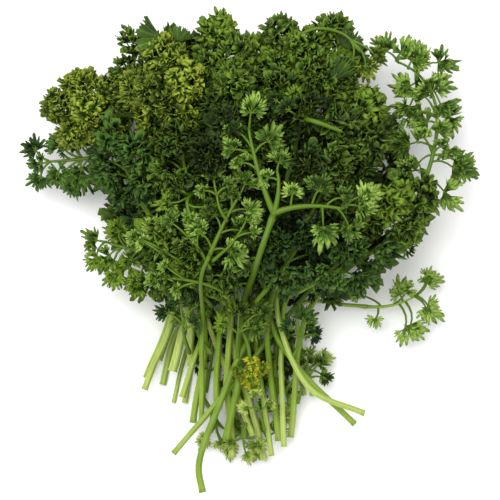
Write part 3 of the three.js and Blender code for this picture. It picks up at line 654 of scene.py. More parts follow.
# More leaflets on the arms of some fronds: plant, arm, and for each leaflet its share along the arm, then
# forward, sideways, upward and radius in shares of the frond's reach.
moreLeaflets = [
    (21, 0, [(0.72, 0.3, 0.3, 0.06, 0.26), (0.86, 0.6, 0.3, 0.08, 0.26), (0.8, 0.64, -0.1, 0.04, 0.24),
             (0.02, -1.02, 0.02, 0.02, 0.26), (0.4, -0.34, -0.3, 0.02, 0.2), (0.95, 1.1, 0.42, 0.04, 0.26),
             (0.5, 0.16, 0.28, 0, 0.24), (0.2, -0.6, -0.5, 0.02, 0.22), (0.1, -0.84, 0.36, 0.02, 0.24),
             (0.62, 0.44, 0.08, 0.1, 0.3), (0.66, 0.34, -0.16, 0.08, 0.26), (0.74, 0.62, 0.1, 0.1, 0.28),
             (0.92, 1.0, 0.2, 0.04, 0.28)]),
    (31, 0, [(0.3, -0.5, 0.1, 0.1, 0.44), (0.6, 0.16, -0.1, 0.1, 0.44), (0.9, 0.9, 0.1, 0.05, 0.44),
             (0.5, -0.1, 0.2, 0.15, 0.4)]),
    (30, 0, [(0.5, 0.3, 0.7, 0, 0.5), (0.5, 0.2, -0.8, 0, 0.5), (0.9, 1.1, 0.3, 0, 0.5)]),
    (22, 0, [(0.8, 0.3, -0.56, 0.02, 0.44), (0.95, 0.8, 0.58, 0.02, 0.38), (0.9, 0.8, -0.1, 0.02, 0.34),
             (0.6, 0.2, 0.35, 0.02, 0.36)]),
    (2, 0, [(0.95, 1.06, 0.34, 0, 0.34), (0.98, 1.1, -0.32, 0, 0.34), (0.5, 0.3, 0.62, 0, 0.32),
            (0.5, 0.16, -0.66, 0, 0.34), (0.6, 0.4, -0.26, 0.05, 0.36), (0.5, 0.05, -0.28, 0.05, 0.38),
            (0.3, -0.3, -0.26, 0.05, 0.36), (0.6, 0.4, 0.24, 0.05, 0.36), (0.5, 0.05, 0.26, 0.05, 0.36),
            (0.3, -0.35, 0.26, 0.05, 0.36)]),
    (3, 0, [(0.6, 0.45, -0.2, 0.05, 0.34), (0.5, 0.1, 0.24, 0.05, 0.36), (0.4, -0.2, -0.22, 0.05, 0.36),
            (0.95, 0.9, 0.4, 0, 0.36), (0.7, 0.4, 0.7, 0, 0.34), (0.3, -0.2, 0.74, 0, 0.36)]),
    (20, 2, [(0.86, 0.26, 0.5, 0, 0.2), (0.5, -0.16, 0.4, 0, 0.18)]),
    (20, 1, [(0.35, -0.56, -0.26, 0.03, 0.16), (0.98, -0.6, -1.2, 0, 0.2), (0.8, -0.62, -0.9, 0.04, 0.18)]),
    (20, 0, [(0.8, -0.36, 0.06, 0.02, 0.16)]),
    (21, 0, [(0.34, -0.08, -0.13, 0.12, 0.24), (0.3, -0.16, 0.1, 0.1, 0.24), (0.26, -0.3, -0.16, 0.12, 0.2),
             (0.14, -0.54, 0.16, 0.04, 0.26), (0.42, 0.22, 0.16, 0.08, 0.26)]),
]
# Thin sprigs without a solid of their own, from a stalk outwards: points of the stem, its radius at both
# ends, and leaflets as (x, y, z, radius).
thinSprigs = [
    dict(look="light", radii=(1.2, 0.6), path=[(-10, -33, 33), (-13, -24, 47), (-21, -19, 58),
                                               (-33, -16, 62), (-44, -15, 61)],
         leaflets=[(-50, -16, 60, 6), (-44, -9, 61, 5), (-38, -21, 60, 5)]),
    dict(look="light", radii=(1.1, 0.5), path=[(-23, -21, 50), (-37, -13, 58), (-44, -6, 60), (-49, 4, 61)],
         leaflets=[(-51, 11, 61, 7), (-43, 7, 60, 5), (-56, 4, 60, 6)]),
    dict(look="light", radii=(1.0, 0.5), path=[(-23, -21, 51), (-33, -9, 60), (-43, -2, 62), (-53, 4, 60)],
         leaflets=[(-60, 6, 58, 6), (-36, 1, 62, 4.5)]),
    dict(look="light", radii=(1.1, 0.5), path=[(-21, -10, 63), (-28, 2, 67), (-35, 9, 68)],
         leaflets=[(-41, 14, 68, 7), (-32, 15, 68, 6), (-27, 8, 67, 4.5)]),
    dict(look="light", radii=(1.0, 0.5), path=[(-20, -6, 65), (-10, 3, 69), (-5, 10, 70)],
         leaflets=[(-2, 16, 70, 6), (1, 9, 70, 5)]),
    dict(look="light", radii=(0.9, 0.5), path=[(-12, 15, 70), (-16, 22, 73), (-18, 32, 73)],
         leaflets=[(-19, 38, 73, 6), (-24, 31, 72, 5), (-12, 33, 73, 5)]),
    dict(look="green", radii=(1.3, 0.7), path=[(-26, 34, 60), (-33, 26, 70), (-31, 16, 72)],
         leaflets=[(-37, 32, 71, 7), (-42, 25, 70, 7), (-24, 23, 72, 6)]),
    dict(look="green", radii=(1.5, 0.9), path=[(24, 70, 68), (34, 67, 83), (48, 62, 80)],
         leaflets=[(20, 73, 80, 7), (14, 78, 78, 6), (24, 80, 78, 6)]),
    dict(look="yellow", tone=-1.0, radii=(1.1, 0.6),
         path=[(18, 108, 60), (34, 117, 62), (50, 114, 60), (58, 105, 62)],
         leaflets=[(61, 98, 62, 8), (66, 103, 60, 6), (54, 101, 62, 6)]),
    dict(look="green", radii=(1.2, 0.7), path=[(-6, -62, 24), (-7, -50, 30), (-6, -42, 35)],
         leaflets=[(-6, -35, 36, 8), (-13, -41, 34, 7), (2, -42, 33, 7), (5, -34, 36, 7)]),
    dict(look="blue", radii=(1.1, 0.6), path=[(22, -60, 24), (27, -50, 28), (28, -44, 28)],
         leaflets=[(29, -38, 28, 7), (34, -46, 26, 6), (22, -42, 30, 6)]),
    dict(look="blue", radii=(1.2, 0.7), path=[(-33, -56, 20), (-36, -44, 34), (-36, -36, 40)],
         leaflets=[(-37, -28, 42, 9), (-44, -34, 38, 7), (-29, -30, 42, 8), (-31, -41, 38, 7)]),
    dict(look="young", radii=(0.9, 0.5), path=[(8, -98, 22), (6, -90, 26), (4, -84, 28)],
         leaflets=[(3, -79, 28, 5), (-2, -86, 27, 5), (10, -84, 27, 5)]),
    dict(look="young", radii=(0.9, 0.5), path=[(-2, -94, 18), (-4, -101, 19), (-3, -106, 17)],
         leaflets=[(-2, -111, 15, 5), (4, -106, 17, 5), (-9, -104, 17, 5)]),
    dict(look="green", radii=(1.0, 0.6), path=[(26, -84, 12), (29, -74, 12), (33, -68, 12)],
         leaflets=[(37, -63, 12, 6), (31, -61, 12, 6), (40, -70, 11, 5)]),
    dict(look="young", radii=(0.9, 0.5), path=[(10, -104, 6), (6, -96, 6), (2, -88, 6)],
         leaflets=[(14, -100, 6, 8), (-6, -96, 6, 8), (6, -108, 6, 8), (-2, -84, 6, 8), (12, -88, 6, 8),
                   (-10, -104, 6, 7), (18, -92, 6, 7), (5, -97, 7, 7)]),
    dict(look="blue", radii=(1.0, 0.6), path=[(-24, -78, 8), (-22, -66, 9), (-20, -54, 10)],
         leaflets=[(-28, -62, 8, 8), (-14, -64, 8, 8), (-20, -48, 10, 8), (-26, -50, 9, 7)]),
    dict(look="green", radii=(1.0, 0.6), path=[(-6, -86, 7), (-4, -74, 8), (-2, -60, 9)],
         leaflets=[(-10, -70, 7, 8), (5, -72, 7, 8), (-4, -54, 9, 9), (6, -58, 8, 8)]),
    dict(look="green", radii=(1.0, 0.6), path=[(14, -82, 7), (16, -70, 8), (17, -58, 9)],
         leaflets=[(10, -84, 6, 7), (20, -76, 7, 7), (22, -62, 8, 8), (14, -50, 9, 8)]),
]
# Steps along a thin sprig's stem, how many of them back from its leaflet a petiole starts, the swing of
# the leaflets, and how light they are where the sprig doesn't say.
thinSprigRule = {"steps": 24, "back": 4, "swing": 0.2, "tone": -1.2}
# Small leaflets deep in the bunch, made dark as painted shade: x, y, z, radius.
undergrowth = [
    (24, -26, 14, 8), (35, -23, 20, 8), (-20, -27, 12, 8), (-20, -36, 10, 8), (31, -44, 8, 7),
    (22, -47, 8, 8), (-14, -52, 7, 8), (16, -30, 9, 8), (-4, -28, 8, 8), (8, -36, 8, 8), (-8, -42, 8, 8),
    (20, -65, 7, 7), (-66, 74, 22, 10), (-62, 60, 18, 10), (-72, 62, 18, 10), (-57, 70, 40, 9),
    (-65, 68, 34, 10), (-73, 46, 26, 10), (-70, 22, 24, 9), (61, 77, 34, 10), (74, 50, 30, 9),
    (76, 24, 26, 9), (-11, 42, 44, 9), (1, 33, 50, 9), (-2, 30, 26, 9), (27, -4, 30, 9), (70, 37, 26, 9),
    (44, -24, 22, 8), (-84, 68, 22, 9), (-96, 80, 24, 9), (-64, 78, 6, 9), (-44, 92, 6, 10),
    (-20, 100, 6, 10), (6, 98, 6, 10), (30, 94, 6, 10), (50, 76, 6, 10), (66, 56, 6, 9), (70, 34, 6, 9),
    (56, 12, 6, 10), (-70, 46, 6, 9), (-66, 22, 6, 9), (-50, 2, 6, 9), (28, -6, 6, 9), (0, 44, 6, 9),
    (-32, 46, 6, 9), (32, 50, 6, 9), (-12, 72, 6, 9), (-14, -6, 6, 9), (6, -14, 7, 8), (-2, -16, 22, 8),
    (-14, -20, 24, 8), (10, -22, 22, 8), (-30, -22, 22, 8), (26, -14, 26, 8),
]
# How much darker the leaflets deep in the bunch are, as painted shade,
deepDarker = 1.0  # than the frond whose stalk they hang on
sprayOf = {"dense": "leafy", "under": "leafy"}  # every other habit's leaflets are loose
oldLeaf = {"halfWidth": 4.0, "tone": -0.2, "aside": -2.0}  # yellow only in the middle
for leaf in leaflets:
    plant = plants[leaf["owner"]]
    leaf["spray"] = sprayOf.get(plant.get("habit", "dense"), "loose")
    if leaf["owner"] + 1 in domedFronds:
        leaf["spray"] = "curled"
    if plant["look"] == "old":
        aside = abs(leaf["root"][0] - plant["head"][0]) > oldLeaf["halfWidth"]
        leaf["tone"] = oldLeaf["aside" if aside else "tone"]
for number, arm, rows in moreLeaflets:
    line = plants[number - 1]["armLines"][arm]
    for share, *place, size in rows:
        leaflets.append({**frondLeaflet(number - 1, place, size), "spray": "loose",
                         "start": line[int(round(share * (len(line) - 1)))]})
for number, sprig in enumerate(thinSprigs, 1):
    stem = throughPoints(sprig["path"])
    line = spaced(stem, thinSprigRule["steps"])
    for *place, radius in sprig["leaflets"]:
        nearest = np.argmin(np.linalg.norm(line - place, axis=1))
        leaflets.append({"owner": len(plants), "start": line[max(nearest - thinSprigRule["back"], 0)],
                         "root": np.array(place, float), "radius": radius, "spray": "loose",
                         "normal": unit(np.array(up) + dice.normal(0, thinSprigRule["swing"], 3)),
                         "tone": sprig.get("tone", thinSprigRule["tone"])})
    plants.append({**sprig, "name": f"thin_sprig_{number:02d}", "arms": [stem],
                   "basis": np.array([unit(line[-1] - line[0]), (0, 0, 0), up])})
stout = (rods["radius"] > sideLeaflets["stoutRod"]) & (rods["owner"] < len(sprigs))
for *place, radius in undergrowth:
    leaflets.append(sideLeaf(np.array(place, float), radius, stout, deepDarker))
sides = addSideLeaflets()
print(f"{len(sides)} side leaflets found room")

# How far past its room a leaflet may reach, the least room of an added one, its lowest point, and a
# distance that holds nothing back.
room = {"slack": 1.4, "least": 1.5, "lowest": 0.15, "endless": 1e3}
leaflets += sides
centres, radiiOf, normals, starts = (column(leaflets, key) for key in ("root", "radius", "normal", "start"))
for leaf in leaflets:
    if "ways" not in leaf:
        leaf["ways"], leaf["distances"] = roomOf(leaf, centres, radiiOf, rods)
        leaf["distances"] = np.maximum(leaf["distances"], room["least"])
most = max(len(leaf["distances"]) for leaf in leaflets)
ways = np.zeros((len(leaflets), most, 3))
distances = np.full((len(leaflets), most), room["endless"])
for index, leaf in enumerate(leaflets):
    ways[index, :len(leaf["distances"])] = leaf["ways"]
    distances[index, :len(leaf["distances"])] = leaf["distances"] + room["slack"]
alongs = squareTo(normals, centres - starts)
frames = np.stack([alongs, np.cross(normals, alongs), normals], axis=1)


def keptInRoom(points, leafNumbers):
    # each point is drawn towards its leaflet's root until it is on the near side of every plane
    offset = points - centres[leafNumbers][:, None]
    past = np.einsum("spc,swc->spw", offset, ways[leafNumbers])
    fits = np.min(distances[leafNumbers][:, None] / np.maximum(past, 1e-6), axis=2)
    kept = centres[leafNumbers][:, None] + offset * np.minimum(1, fits)[..., None]
    kept[..., 2] = np.maximum(kept[..., 2], room["lowest"])
    return kept


# How light the leaves are: the random spread of the leaflets, the range of the blades, the painted shade of
# what lies low in the bunch, and the painted shade and light of the blades low and high in a head.
shade = {
    "spread": 0.72, "blade": (0.1, 0.8),
    "lowBelow": 60, "lowMiddle": 54, "lowSpan": 30, "lowRange": (-1.1, 0.2),
    "head": 2.0, "headMiddle": 0.34, "headRange": (-1.4, 0.6),
}
# Painted shade in the hollows of the crown: middle, half widths and how much darker.
hollows = [((2, 38), (42, 30), 1.6), ((27, 70), (16, 12), 1.8), ((-26, 55), (17, 12), 1.6),
           ((16, 16), (20, 15), 1.4), ((-8, 76), (9, 9), 1.2), ((44, 20), (12, 10), 1.0)]
sprayParts = []
for kind, shape in sprays.items():
    numbers = np.array([index for index, leaf in enumerate(leaflets) if leaf["spray"] == kind])
    sprayParts.append(fansOf(numbers, shape))
fanLeaf, *fanRows, ribLeaf, ribEnds = map(np.concatenate, zip(*sprayParts))
ribEnds = keptInRoom(ribEnds[:, None], ribLeaf)[:, 0]
leafTones = np.array([leaf.get("tone", tones.get(leaf["owner"] + 1, 0.0)) for leaf in leaflets])
leafTones += dice.normal(0, shade["spread"], len(leafTones))
ownerOf = column(leaflets, "owner")
# Painted shade: the fronds' leaflets low in the bunch are darker the lower they lie.
low = (ownerOf < len(sprigs)) & (centres[:, 2] < shade["lowBelow"])
leafTones += low * np.clip((centres[:, 2] - shade["lowMiddle"]) / shade["lowSpan"], *shade["lowRange"])
inCrown = (ownerOf < len(sprigs)) & np.array(["habit" not in plant for plant in plants])[ownerOf]
# Painted shade: crown leaflets in a hollow are darker.
for middle, wide, darker in hollows:
    off = (centres[:, :2] - middle) / wide
    leafTones -= inCrown * darker * np.exp(-np.sum(off ** 2, axis=1))
sheets = []  # for each shape of blade: whose it is, its points and its attributes


def addBlades(shape, owners, rows, chosen):
    # the chosen blades, all of one shape, each kept in its leaflet's room
    points, data = bladeSurface(blades[shape], *(row[chosen] for row in rows))
    sheets.append((shape, owners[chosen], keptInRoom(points, owners[chosen]), data))


isLoose = (column(leaflets, "spray") == "loose")[fanLeaf]
addBlades("fan", fanLeaf, fanRows, ~isLoose)
addBlades("leaf", fanLeaf, fanRows, isLoose)
curled = [index for index, leaf in enumerate(leaflets) if leaf["spray"] == "curled"]
curlRows = [np.concatenate(rows) for rows in zip(*[curlsOf(index) for index in curled])]
curlLeaf = np.repeat(curled, dome["curls"])
odd = (np.arange(len(curlLeaf)) % dome["curls"]) % 2 == 1
addBlades("scallop", curlLeaf, curlRows, ~odd)
addBlades("frill", curlLeaf, curlRows, odd)
oneSheet = {shape: bladeFaces(len(blade["rim"]), blade["rows"]) for shape, blade in blades.items()}
for shape, owners, points, data in sheets:
    data["tone"] += leafTones[owners][:, None]
    # Painted light and shade: a blade high in its leaflet's head is lighter, a low one darker, except on
    # loose leaves.
    high = np.sum((points.mean(axis=1) - centres[owners]) * normals[owners], axis=1) / radiiOf[owners]
    if shape != "leaf":
        data["tone"] += np.clip(shade["head"] * (high - shade["headMiddle"]), *shade["headRange"])[:, None]
    print(f"{len(owners)} blades of shape {shape}, {len(owners) * len(oneSheet[shape])} triangles")

askew = 0.01  # keeps the reference of a tube off its own direction
ribShape = {"sides": 4, "steps": 3, "radii": (0.5, 0.3)}
run = np.linspace(0, 1, ribShape["steps"])[None, :, None]
ribPaths = centres[ribLeaf][:, None] * (1 - run) + ribEnds[:, None] * run
ribRadii = np.tile(np.linspace(*ribShape["radii"], ribShape["steps"]), (len(ribLeaf), 1))
ribPoints = tubes(ribPaths, ribRadii, normals[ribLeaf] + askew, ribShape["sides"])[0]
oneRib = tubes(ribPaths[:1], ribRadii[:1], normals[:1] + askew, ribShape["sides"])[1]

# Slot of each leaf, its deep, middle and tip colours and its pale underside, in sRGB from 0 to 255; the deep
# colour is painted shade, the tip colour partly the rims' own paleness and partly painted highlight.
leafColours = {
    "green": ("leaf_green", (11, 23, 2), (45, 72, 11), (114, 142, 40), (70, 92, 30)),
    "yellow": ("leaf_yellow_green", (18, 32, 0), (56, 82, 8), (162, 178, 58), (94, 112, 34)),
    "blue": ("leaf_blue_green", (9, 25, 6), (36, 65, 16), (84, 117, 40), (60, 88, 36)),
    "light": ("leaf_light_green", (24, 44, 4), (74, 106, 26), (150, 178, 80), (100, 130, 54)),
    "young": ("leaf_young", (66, 88, 20), (124, 148, 54), (178, 194, 100), (138, 158, 76)),
    "old": ("leaf_old", (34, 56, 2), (118, 132, 14), (184, 184, 38), (112, 124, 34)),
}
# How strongly each value moves a leaf's colour from deep to tip, its gloss and its relief; the scales are
# patches per metre and the depth is metres.
leafSkin = {
    "patchScale": 38.0, "patch": 0.9, "grainScale": 900.0, "grain": 0.3, "vein": 0.16, "tone": 0.3,
    "tipPower": 2.8, "tip": 1.25, "tipLess": 0.11, "under": 0.7, "rough": 0.42, "roughGrain": 0.25,
    "gloss": 0.16, "veinRelief": 0.5, "relief": 0.35, "depth": 0.0004,
}
# The same for the stalks, whose colours run from cut to high at their own places.
stalkSkin = {
    "cut": (212, 218, 156), "low": (164, 181, 92), "streak": (120, 148, 42), "high": (78, 106, 14),
    "lowAt": 0.03, "streakAt": 0.6, "patchScale": 45.0, "patch": 0.6, "tone": 0.5,
    "cutSlope": 8.0, "cutEnd": 0.04, "stretch": (1.0, 0.08, 1.0), "streakScale": 900.0,
    "streakFrom": 0.4, "streaks": 0.8, "grooves": 0.3, "rough": 0.38, "gloss": 0.25,
    "relief": 0.4, "depth": 0.0003,
}


def linear(colour):
    # sRGB from 0 to 255 to linear light: c / 12.92 where dark, ((c + 0.055) / 1.055) ^ 2.4 elsewhere
    c = np.array(colour) / 255
    return (*np.where(c <= 0.04045, c / 12.92, ((c + 0.055) / 1.055) ** 2.4), 1)


def feed(tree, socket, value):
    # another node's output is linked to the socket, a number or colour is set on it
    if isinstance(value, bpy.types.NodeSocket):
        tree.links.new(value, socket)
    else:
        socket.default_value = value


def fill(tree, made, **inputs):
    # feeds the named inputs of a node
    for key, value in inputs.items():
        feed(tree, made.inputs[key.replace("_", " ")], value)
    return made


def node(tree, kind, **inputs):
    # a new node with its inputs fed
    return fill(tree, tree.nodes.new(kind), **inputs)


def noise(tree, place, scale, detail):
    # soft random values about 0.5
    return node(tree, "ShaderNodeTexNoise", Vector=place, Scale=scale, Detail=detail).outputs["Fac"]


def attribute(tree, name):
    # a value that the mesh carries at its points
    made = tree.nodes.new("ShaderNodeAttribute")
    made.attribute_name = name
    return made.outputs["Fac"]


def maths(tree, operation, a, b):
    # one sum of two values
    made = tree.nodes.new("ShaderNodeMath")
    made.operation = operation
    feed(tree, made.inputs[0], a)
    feed(tree, made.inputs[1], b)
    return made.outputs[0]


def plus(tree, total, weight, value, middle=0.0):
    # total + weight (value - middle)
    if middle:
        value = maths(tree, "SUBTRACT", value, middle)
    return maths(tree, "ADD", total, maths(tree, "MULTIPLY", value, weight))


def mixed(tree, share, a, b):
    # a (1 - share) + b share
    made = tree.nodes.new("ShaderNodeMix")
    made.data_type = "RGBA"
    for number, value in ((0, share), (6, a), (7, b)):
        feed(tree, made.inputs[number], value)
    return made.outputs[2]


def ramp(tree, share, first, last, *between):
    # first at 0, last at 1, and the colours between at their own places
    made = tree.nodes.new("ShaderNodeValToRGB")
    tree.links.new(share, made.inputs[0])
    made.color_ramp.elements[0].color = linear(first)
    made.color_ramp.elements[1].color = linear(last)
    for place, colour in between:
        made.color_ramp.elements.new(place).color = linear(colour)
    return made.outputs[0]


def newMaterial(name):
    # a material, its node tree and its shader
    material = bpy.data.materials.new(name)
    material.use_nodes = True
    tree = material.node_tree
    return material, tree, tree.nodes["Principled BSDF"]


def leafMaterial(name, deep, middle, tip, under):
    # colour runs deep, middle, tip with a power of the share along a segment, its veins, its tone and a
    # soft mottle, and pales towards the underside; the dark feet of the blades are painted shade, the pale
    # rims are partly their own colour and partly painted highlight, and the tone carries painted shade
    skin = leafSkin
    material, tree, shader = newMaterial(name)
    place = tree.nodes.new("ShaderNodeTexCoord").outputs["Object"]
    patch = noise(tree, place, skin["patchScale"], 2.0)
    grain = noise(tree, place, skin["grainScale"], 3.0)
    tintAndPaintedLight = maths(tree, "POWER", attribute(tree, "tip"), skin["tipPower"])
    tintAndPaintedLight = maths(tree, "SUBTRACT", maths(tree, "MULTIPLY", tintAndPaintedLight, skin["tip"]), skin["tipLess"])
    tintAndPaintedLight = plus(tree, tintAndPaintedLight, skin["vein"], attribute(tree, "vein"))
    tintAndPaintedLight = plus(tree, tintAndPaintedLight, skin["tone"], attribute(tree, "tone"))
    tintAndPaintedLight = plus(tree, tintAndPaintedLight, skin["patch"], patch, 0.5)
    tintAndPaintedLight = plus(tree, tintAndPaintedLight, skin["grain"], grain, 0.5)
    colour = ramp(tree, tintAndPaintedLight, deep, tip, (0.5, middle))
    below = maths(tree, "MULTIPLY", maths(tree, "SUBTRACT", 1.0, attribute(tree, "side")), skin["under"])
    relief = maths(tree, "MULTIPLY", attribute(tree, "vein"), skin["veinRelief"])
    relief = maths(tree, "ADD", relief, grain)
    bump = node(tree, "ShaderNodeBump", Height=relief, Strength=skin["relief"], Distance=skin["depth"])
    fill(tree, shader, Base_Color=mixed(tree, below, colour, linear(under)), Normal=bump.outputs[0],
         Roughness=plus(tree, skin["rough"], skin["roughGrain"], grain), Specular_IOR_Level=skin["gloss"])
    return material


def stalkMaterial(name):
    # pale at the cut end and greener towards the fork, a darkening that is partly the stalk's own colour and
    # partly painted shade under the crown, with fine lengthwise streaks, painted shade in the grooves and
    # painted highlight on the ribs, and a soft gloss
    skin = stalkSkin
    material, tree, shader = newMaterial(name)
    place = tree.nodes.new("ShaderNodeTexCoord").outputs["Object"]
    stretched = node(tree, "ShaderNodeMapping", Vector=place, Scale=skin["stretch"]).outputs[0]
    streak = noise(tree, stretched, skin["streakScale"], 2.0)
    along = attribute(tree, "along")
    green = plus(tree, along, skin["patch"], noise(tree, place, skin["patchScale"], 2.0), 0.5)
    green = plus(tree, green, skin["tone"], attribute(tree, "tone"))
    cut = maths(tree, "MINIMUM", maths(tree, "MULTIPLY", along, skin["cutSlope"]), skin["cutEnd"])
    base = ramp(tree, maths(tree, "MAXIMUM", green, cut), skin["cut"], skin["high"],
                (skin["lowAt"], skin["low"]), (skin["streakAt"], skin["streak"]))
    dark = maths(tree, "MULTIPLY", maths(tree, "SUBTRACT", streak, skin["streakFrom"]), skin["streaks"])
    # Painted shade and highlight: darker in the grooves between the ribs, lighter on their crests.
    dark = maths(tree, "SUBTRACT", dark, maths(tree, "MULTIPLY", attribute(tree, "vein"), skin["grooves"]))
    bump = node(tree, "ShaderNodeBump", Height=streak, Strength=skin["relief"], Distance=skin["depth"])
    fill(tree, shader, Base_Color=mixed(tree, dark, base, linear(skin["high"])), Normal=bump.outputs[0],
         Roughness=skin["rough"], Specular_IOR_Level=skin["gloss"])
    return material


leafMaterials = {look: leafMaterial(f"parsley_{look}", *row[1:]) for look, row in leafColours.items()}
stalkGreen = stalkMaterial("parsley_stalk")
print("materials made")

# A stalk is green from its cut end by so much and to its fork by so much more; it widens just below the
# fork and at the cut end.
stalkShape = {"sides": 15, "steps": 56, "ribs": 5, "ribDepth": 0.1, "green": (0, 1), "girth": (0.8, 1.02),
              "tone": (-0.4, 1.1), "sheathSwell": 0.3, "sheathAt": 0.985, "sheathLong": 0.02,
              "cutFlare": 0.1, "cutLong": 0.01}
stalkTones = {1: 0.0, 2: 0.2, 3: -1.2, 5: 0.9, 6: -0.2, 8: 0.9, 9: 0.2, 10: 1.1, 11: -0.5, 12: 0.9,
              13: -0.2, 14: 0.7, 20: 1.3, 21: 0.6, 22: -0.7}  # how green, others are drawn at random
stalkGirths = {3: 1.3, 11: 1.1, 20: 1.1, 19: 0.75, 22: 0.72}  # and how thick
# Thinner stalks in the middle between two neighbours, over a share of their length, where there is room.
thinShape = {"sides": 12, "steps": 36, "ribs": 4, "ribDepth": 0.08, "green": (0.04, 0.6),
             "taper": (1, 0.85), "tone": (-0.5, 1.2)}
fillStalks = {"count": 16, "apart": 18.0, "cut": (0, 9), "upTo": 30, "room": 0.25, "thickest": 1.5,
              "least": 0.7}
# And thin ones near the floor, as x and y of their cut end, middle and top.
floorStalks = [((-27, -92), (-24, -64), (-20, -34)), ((-12, -98), (-10, -66), (-9, -34)),
               ((7, -93), (7, -66), (4, -34)), ((22, -88), (19, -62), (11, -34)),
               ((30, -80), (25, -58), (17, -36)), ((-42, -84), (-37, -62), (-29, -38))]
floorRule = {"heights": (1.2, 1.2, 1.4), "steps": 20, "radius": 1.15}


def resampled(line, steps):
    # steps points at equal arc lengths of the smooth line through the settled points
    return spaced(throughPoints(line), steps)


def stalkPart(path, radius, shape, tone):
    # a ribbed tube; its vein is cos(ribs angle), one on the ribs and less between them
    sides, ribs = shape["sides"], shape["ribs"]
    points, faces, share = tubes(path[None], radius[None], np.array([up], float), sides, ribs,
                                 shape["ribDepth"])
    ridge = np.append(np.tile(np.cos(ribs * np.arange(sides) * 2 * np.pi / sides), len(path)), (0, 0))
    green = shape["green"][0] + shape["green"][1] * share
    return points, faces, {"along": green, "tone": np.full(share.shape, tone), "vein": ridge}, 0


along = np.linspace(0, 1, stalkShape["steps"])
past = (along - stalkShape["sheathAt"]) / stalkShape["sheathLong"]
swell = 1 + stalkShape["sheathSwell"] * np.exp(-past ** 2)
flare = 1 + stalkShape["cutFlare"] * np.exp(-(along / stalkShape["cutLong"]) ** 2)
taper = layout["stalkRadius"] + (layout["forkRadius"] - layout["stalkRadius"]) * along
for number, plant in enumerate(plants, 1):
    if "end" in plant:
        radius = taper * stalkGirths.get(number, dice.uniform(*stalkShape["girth"])) * swell * flare
        tone = stalkTones.get(number, dice.uniform(*stalkShape["tone"]))
        part = stalkPart(resampled(plant["stalk"], stalkShape["steps"]), radius, stalkShape, tone)
        makePiece(f"stalk_{number:02d}", [part], [stalkGreen], "stem", [f"stem_{number:02d}"])
print("stalks made")

stalkLines = np.array([plant["stalk"] for plant in plants if "end" in plant])
pairs = [(i, j) for i in range(len(stalkLines)) for j in range(i)]
filled = []
for pick in dice.permutation(len(pairs)):
    i, j = pairs[pick]
    span = slice(dice.integers(*fillStalks["cut"]), fillStalks["upTo"])
    line = (stalkLines[i, span] + stalkLines[j, span]) / 2
    apart = np.linalg.norm(stalkLines[i, span] - stalkLines[j, span], axis=1)
    others = np.vstack([stalkLines.reshape(-1, 3)] + [row for row, _ in filled])
    free = np.linalg.norm(line[:, None] - others[None], axis=2).min(axis=1)
    free = free - layout["stalkRadius"] - fillStalks["room"]
    fits = free.min() > fillStalks["least"] and np.all(apart < fillStalks["apart"])
    if fits and len(filled) < fillStalks["count"]:
        filled.append((line, np.minimum(free, fillStalks["thickest"])))
for places in floorStalks:
    points = [(*place, height) for place, height in zip(places, floorRule["heights"])]
    filled.append((resampled(points, floorRule["steps"]), np.array([floorRule["radius"]])))
parts = []
for line, radius in filled:
    girth = radius.min() * np.linspace(*thinShape["taper"], thinShape["steps"])
    path = resampled(line, thinShape["steps"])
    parts.append(stalkPart(path, girth, thinShape, dice.uniform(*thinShape["tone"])))
makePiece("thin_stalks", parts, [stalkGreen], "stem")
print(f"{len(filled)} thinner stalks found room")

rachisShape = {"sides": 10, "steps": 18, "ribs": 5, "ribDepth": 0.05, "green": 0.85, "petioleSides": 6,
               "petioleSteps": 5, "petioleRadii": (0.72, 0.45), "petioleBend": 0.6}


def plainData(count, green=rachisShape["green"]):
    # the attributes of count points of a stem, all alike
    plain = {"tip": 0.0, "vein": 0.0, "side": 1.0, "tone": 0.5, "along": green}
    return {key: np.full(count, value) for key, value in plain.items()}


def leafParts(numbers):
    # the blades and ribs of the leaflets with these numbers, and their petioles, which leave the rachis
    # forwards and bend out: start (1-t) + root t + bend t (1-t) forward
    parts = []
    for shape, owners, points, data in sheets:
        held = np.isin(owners, numbers)
        if held.any():
            parts.append((points[held], repeated(oneSheet[shape], held.sum(), points.shape[1]),
                          {key: value[held] for key, value in data.items()}, 0))
    ribs = np.isin(ribLeaf, numbers)
    parts.append((ribPoints[ribs], repeated(oneRib, ribs.sum(), ribPoints.shape[1]),
                  plainData(ribs.sum() * ribPoints.shape[1]), 1))
    t = np.linspace(0, 1, rachisShape["petioleSteps"])[:, None]
    radius = np.linspace(*rachisShape["petioleRadii"], rachisShape["petioleSteps"])
    for index in numbers:
        leaf = leaflets[index]
        bend = rachisShape["petioleBend"] * np.linalg.norm(leaf["root"] - leaf["start"])
        bend = bend * plants[leaf["owner"]]["basis"][0]
        path = leaf["start"] * (1 - t) + leaf["root"] * t + bend * t * (1 - t)
        points, faces, _ = tubes(path[None], radius[None], leaf["normal"][None] + askew,
                                 rachisShape["petioleSides"])
        parts.append((points, faces, plainData(points.shape[1]), 1))
    return parts


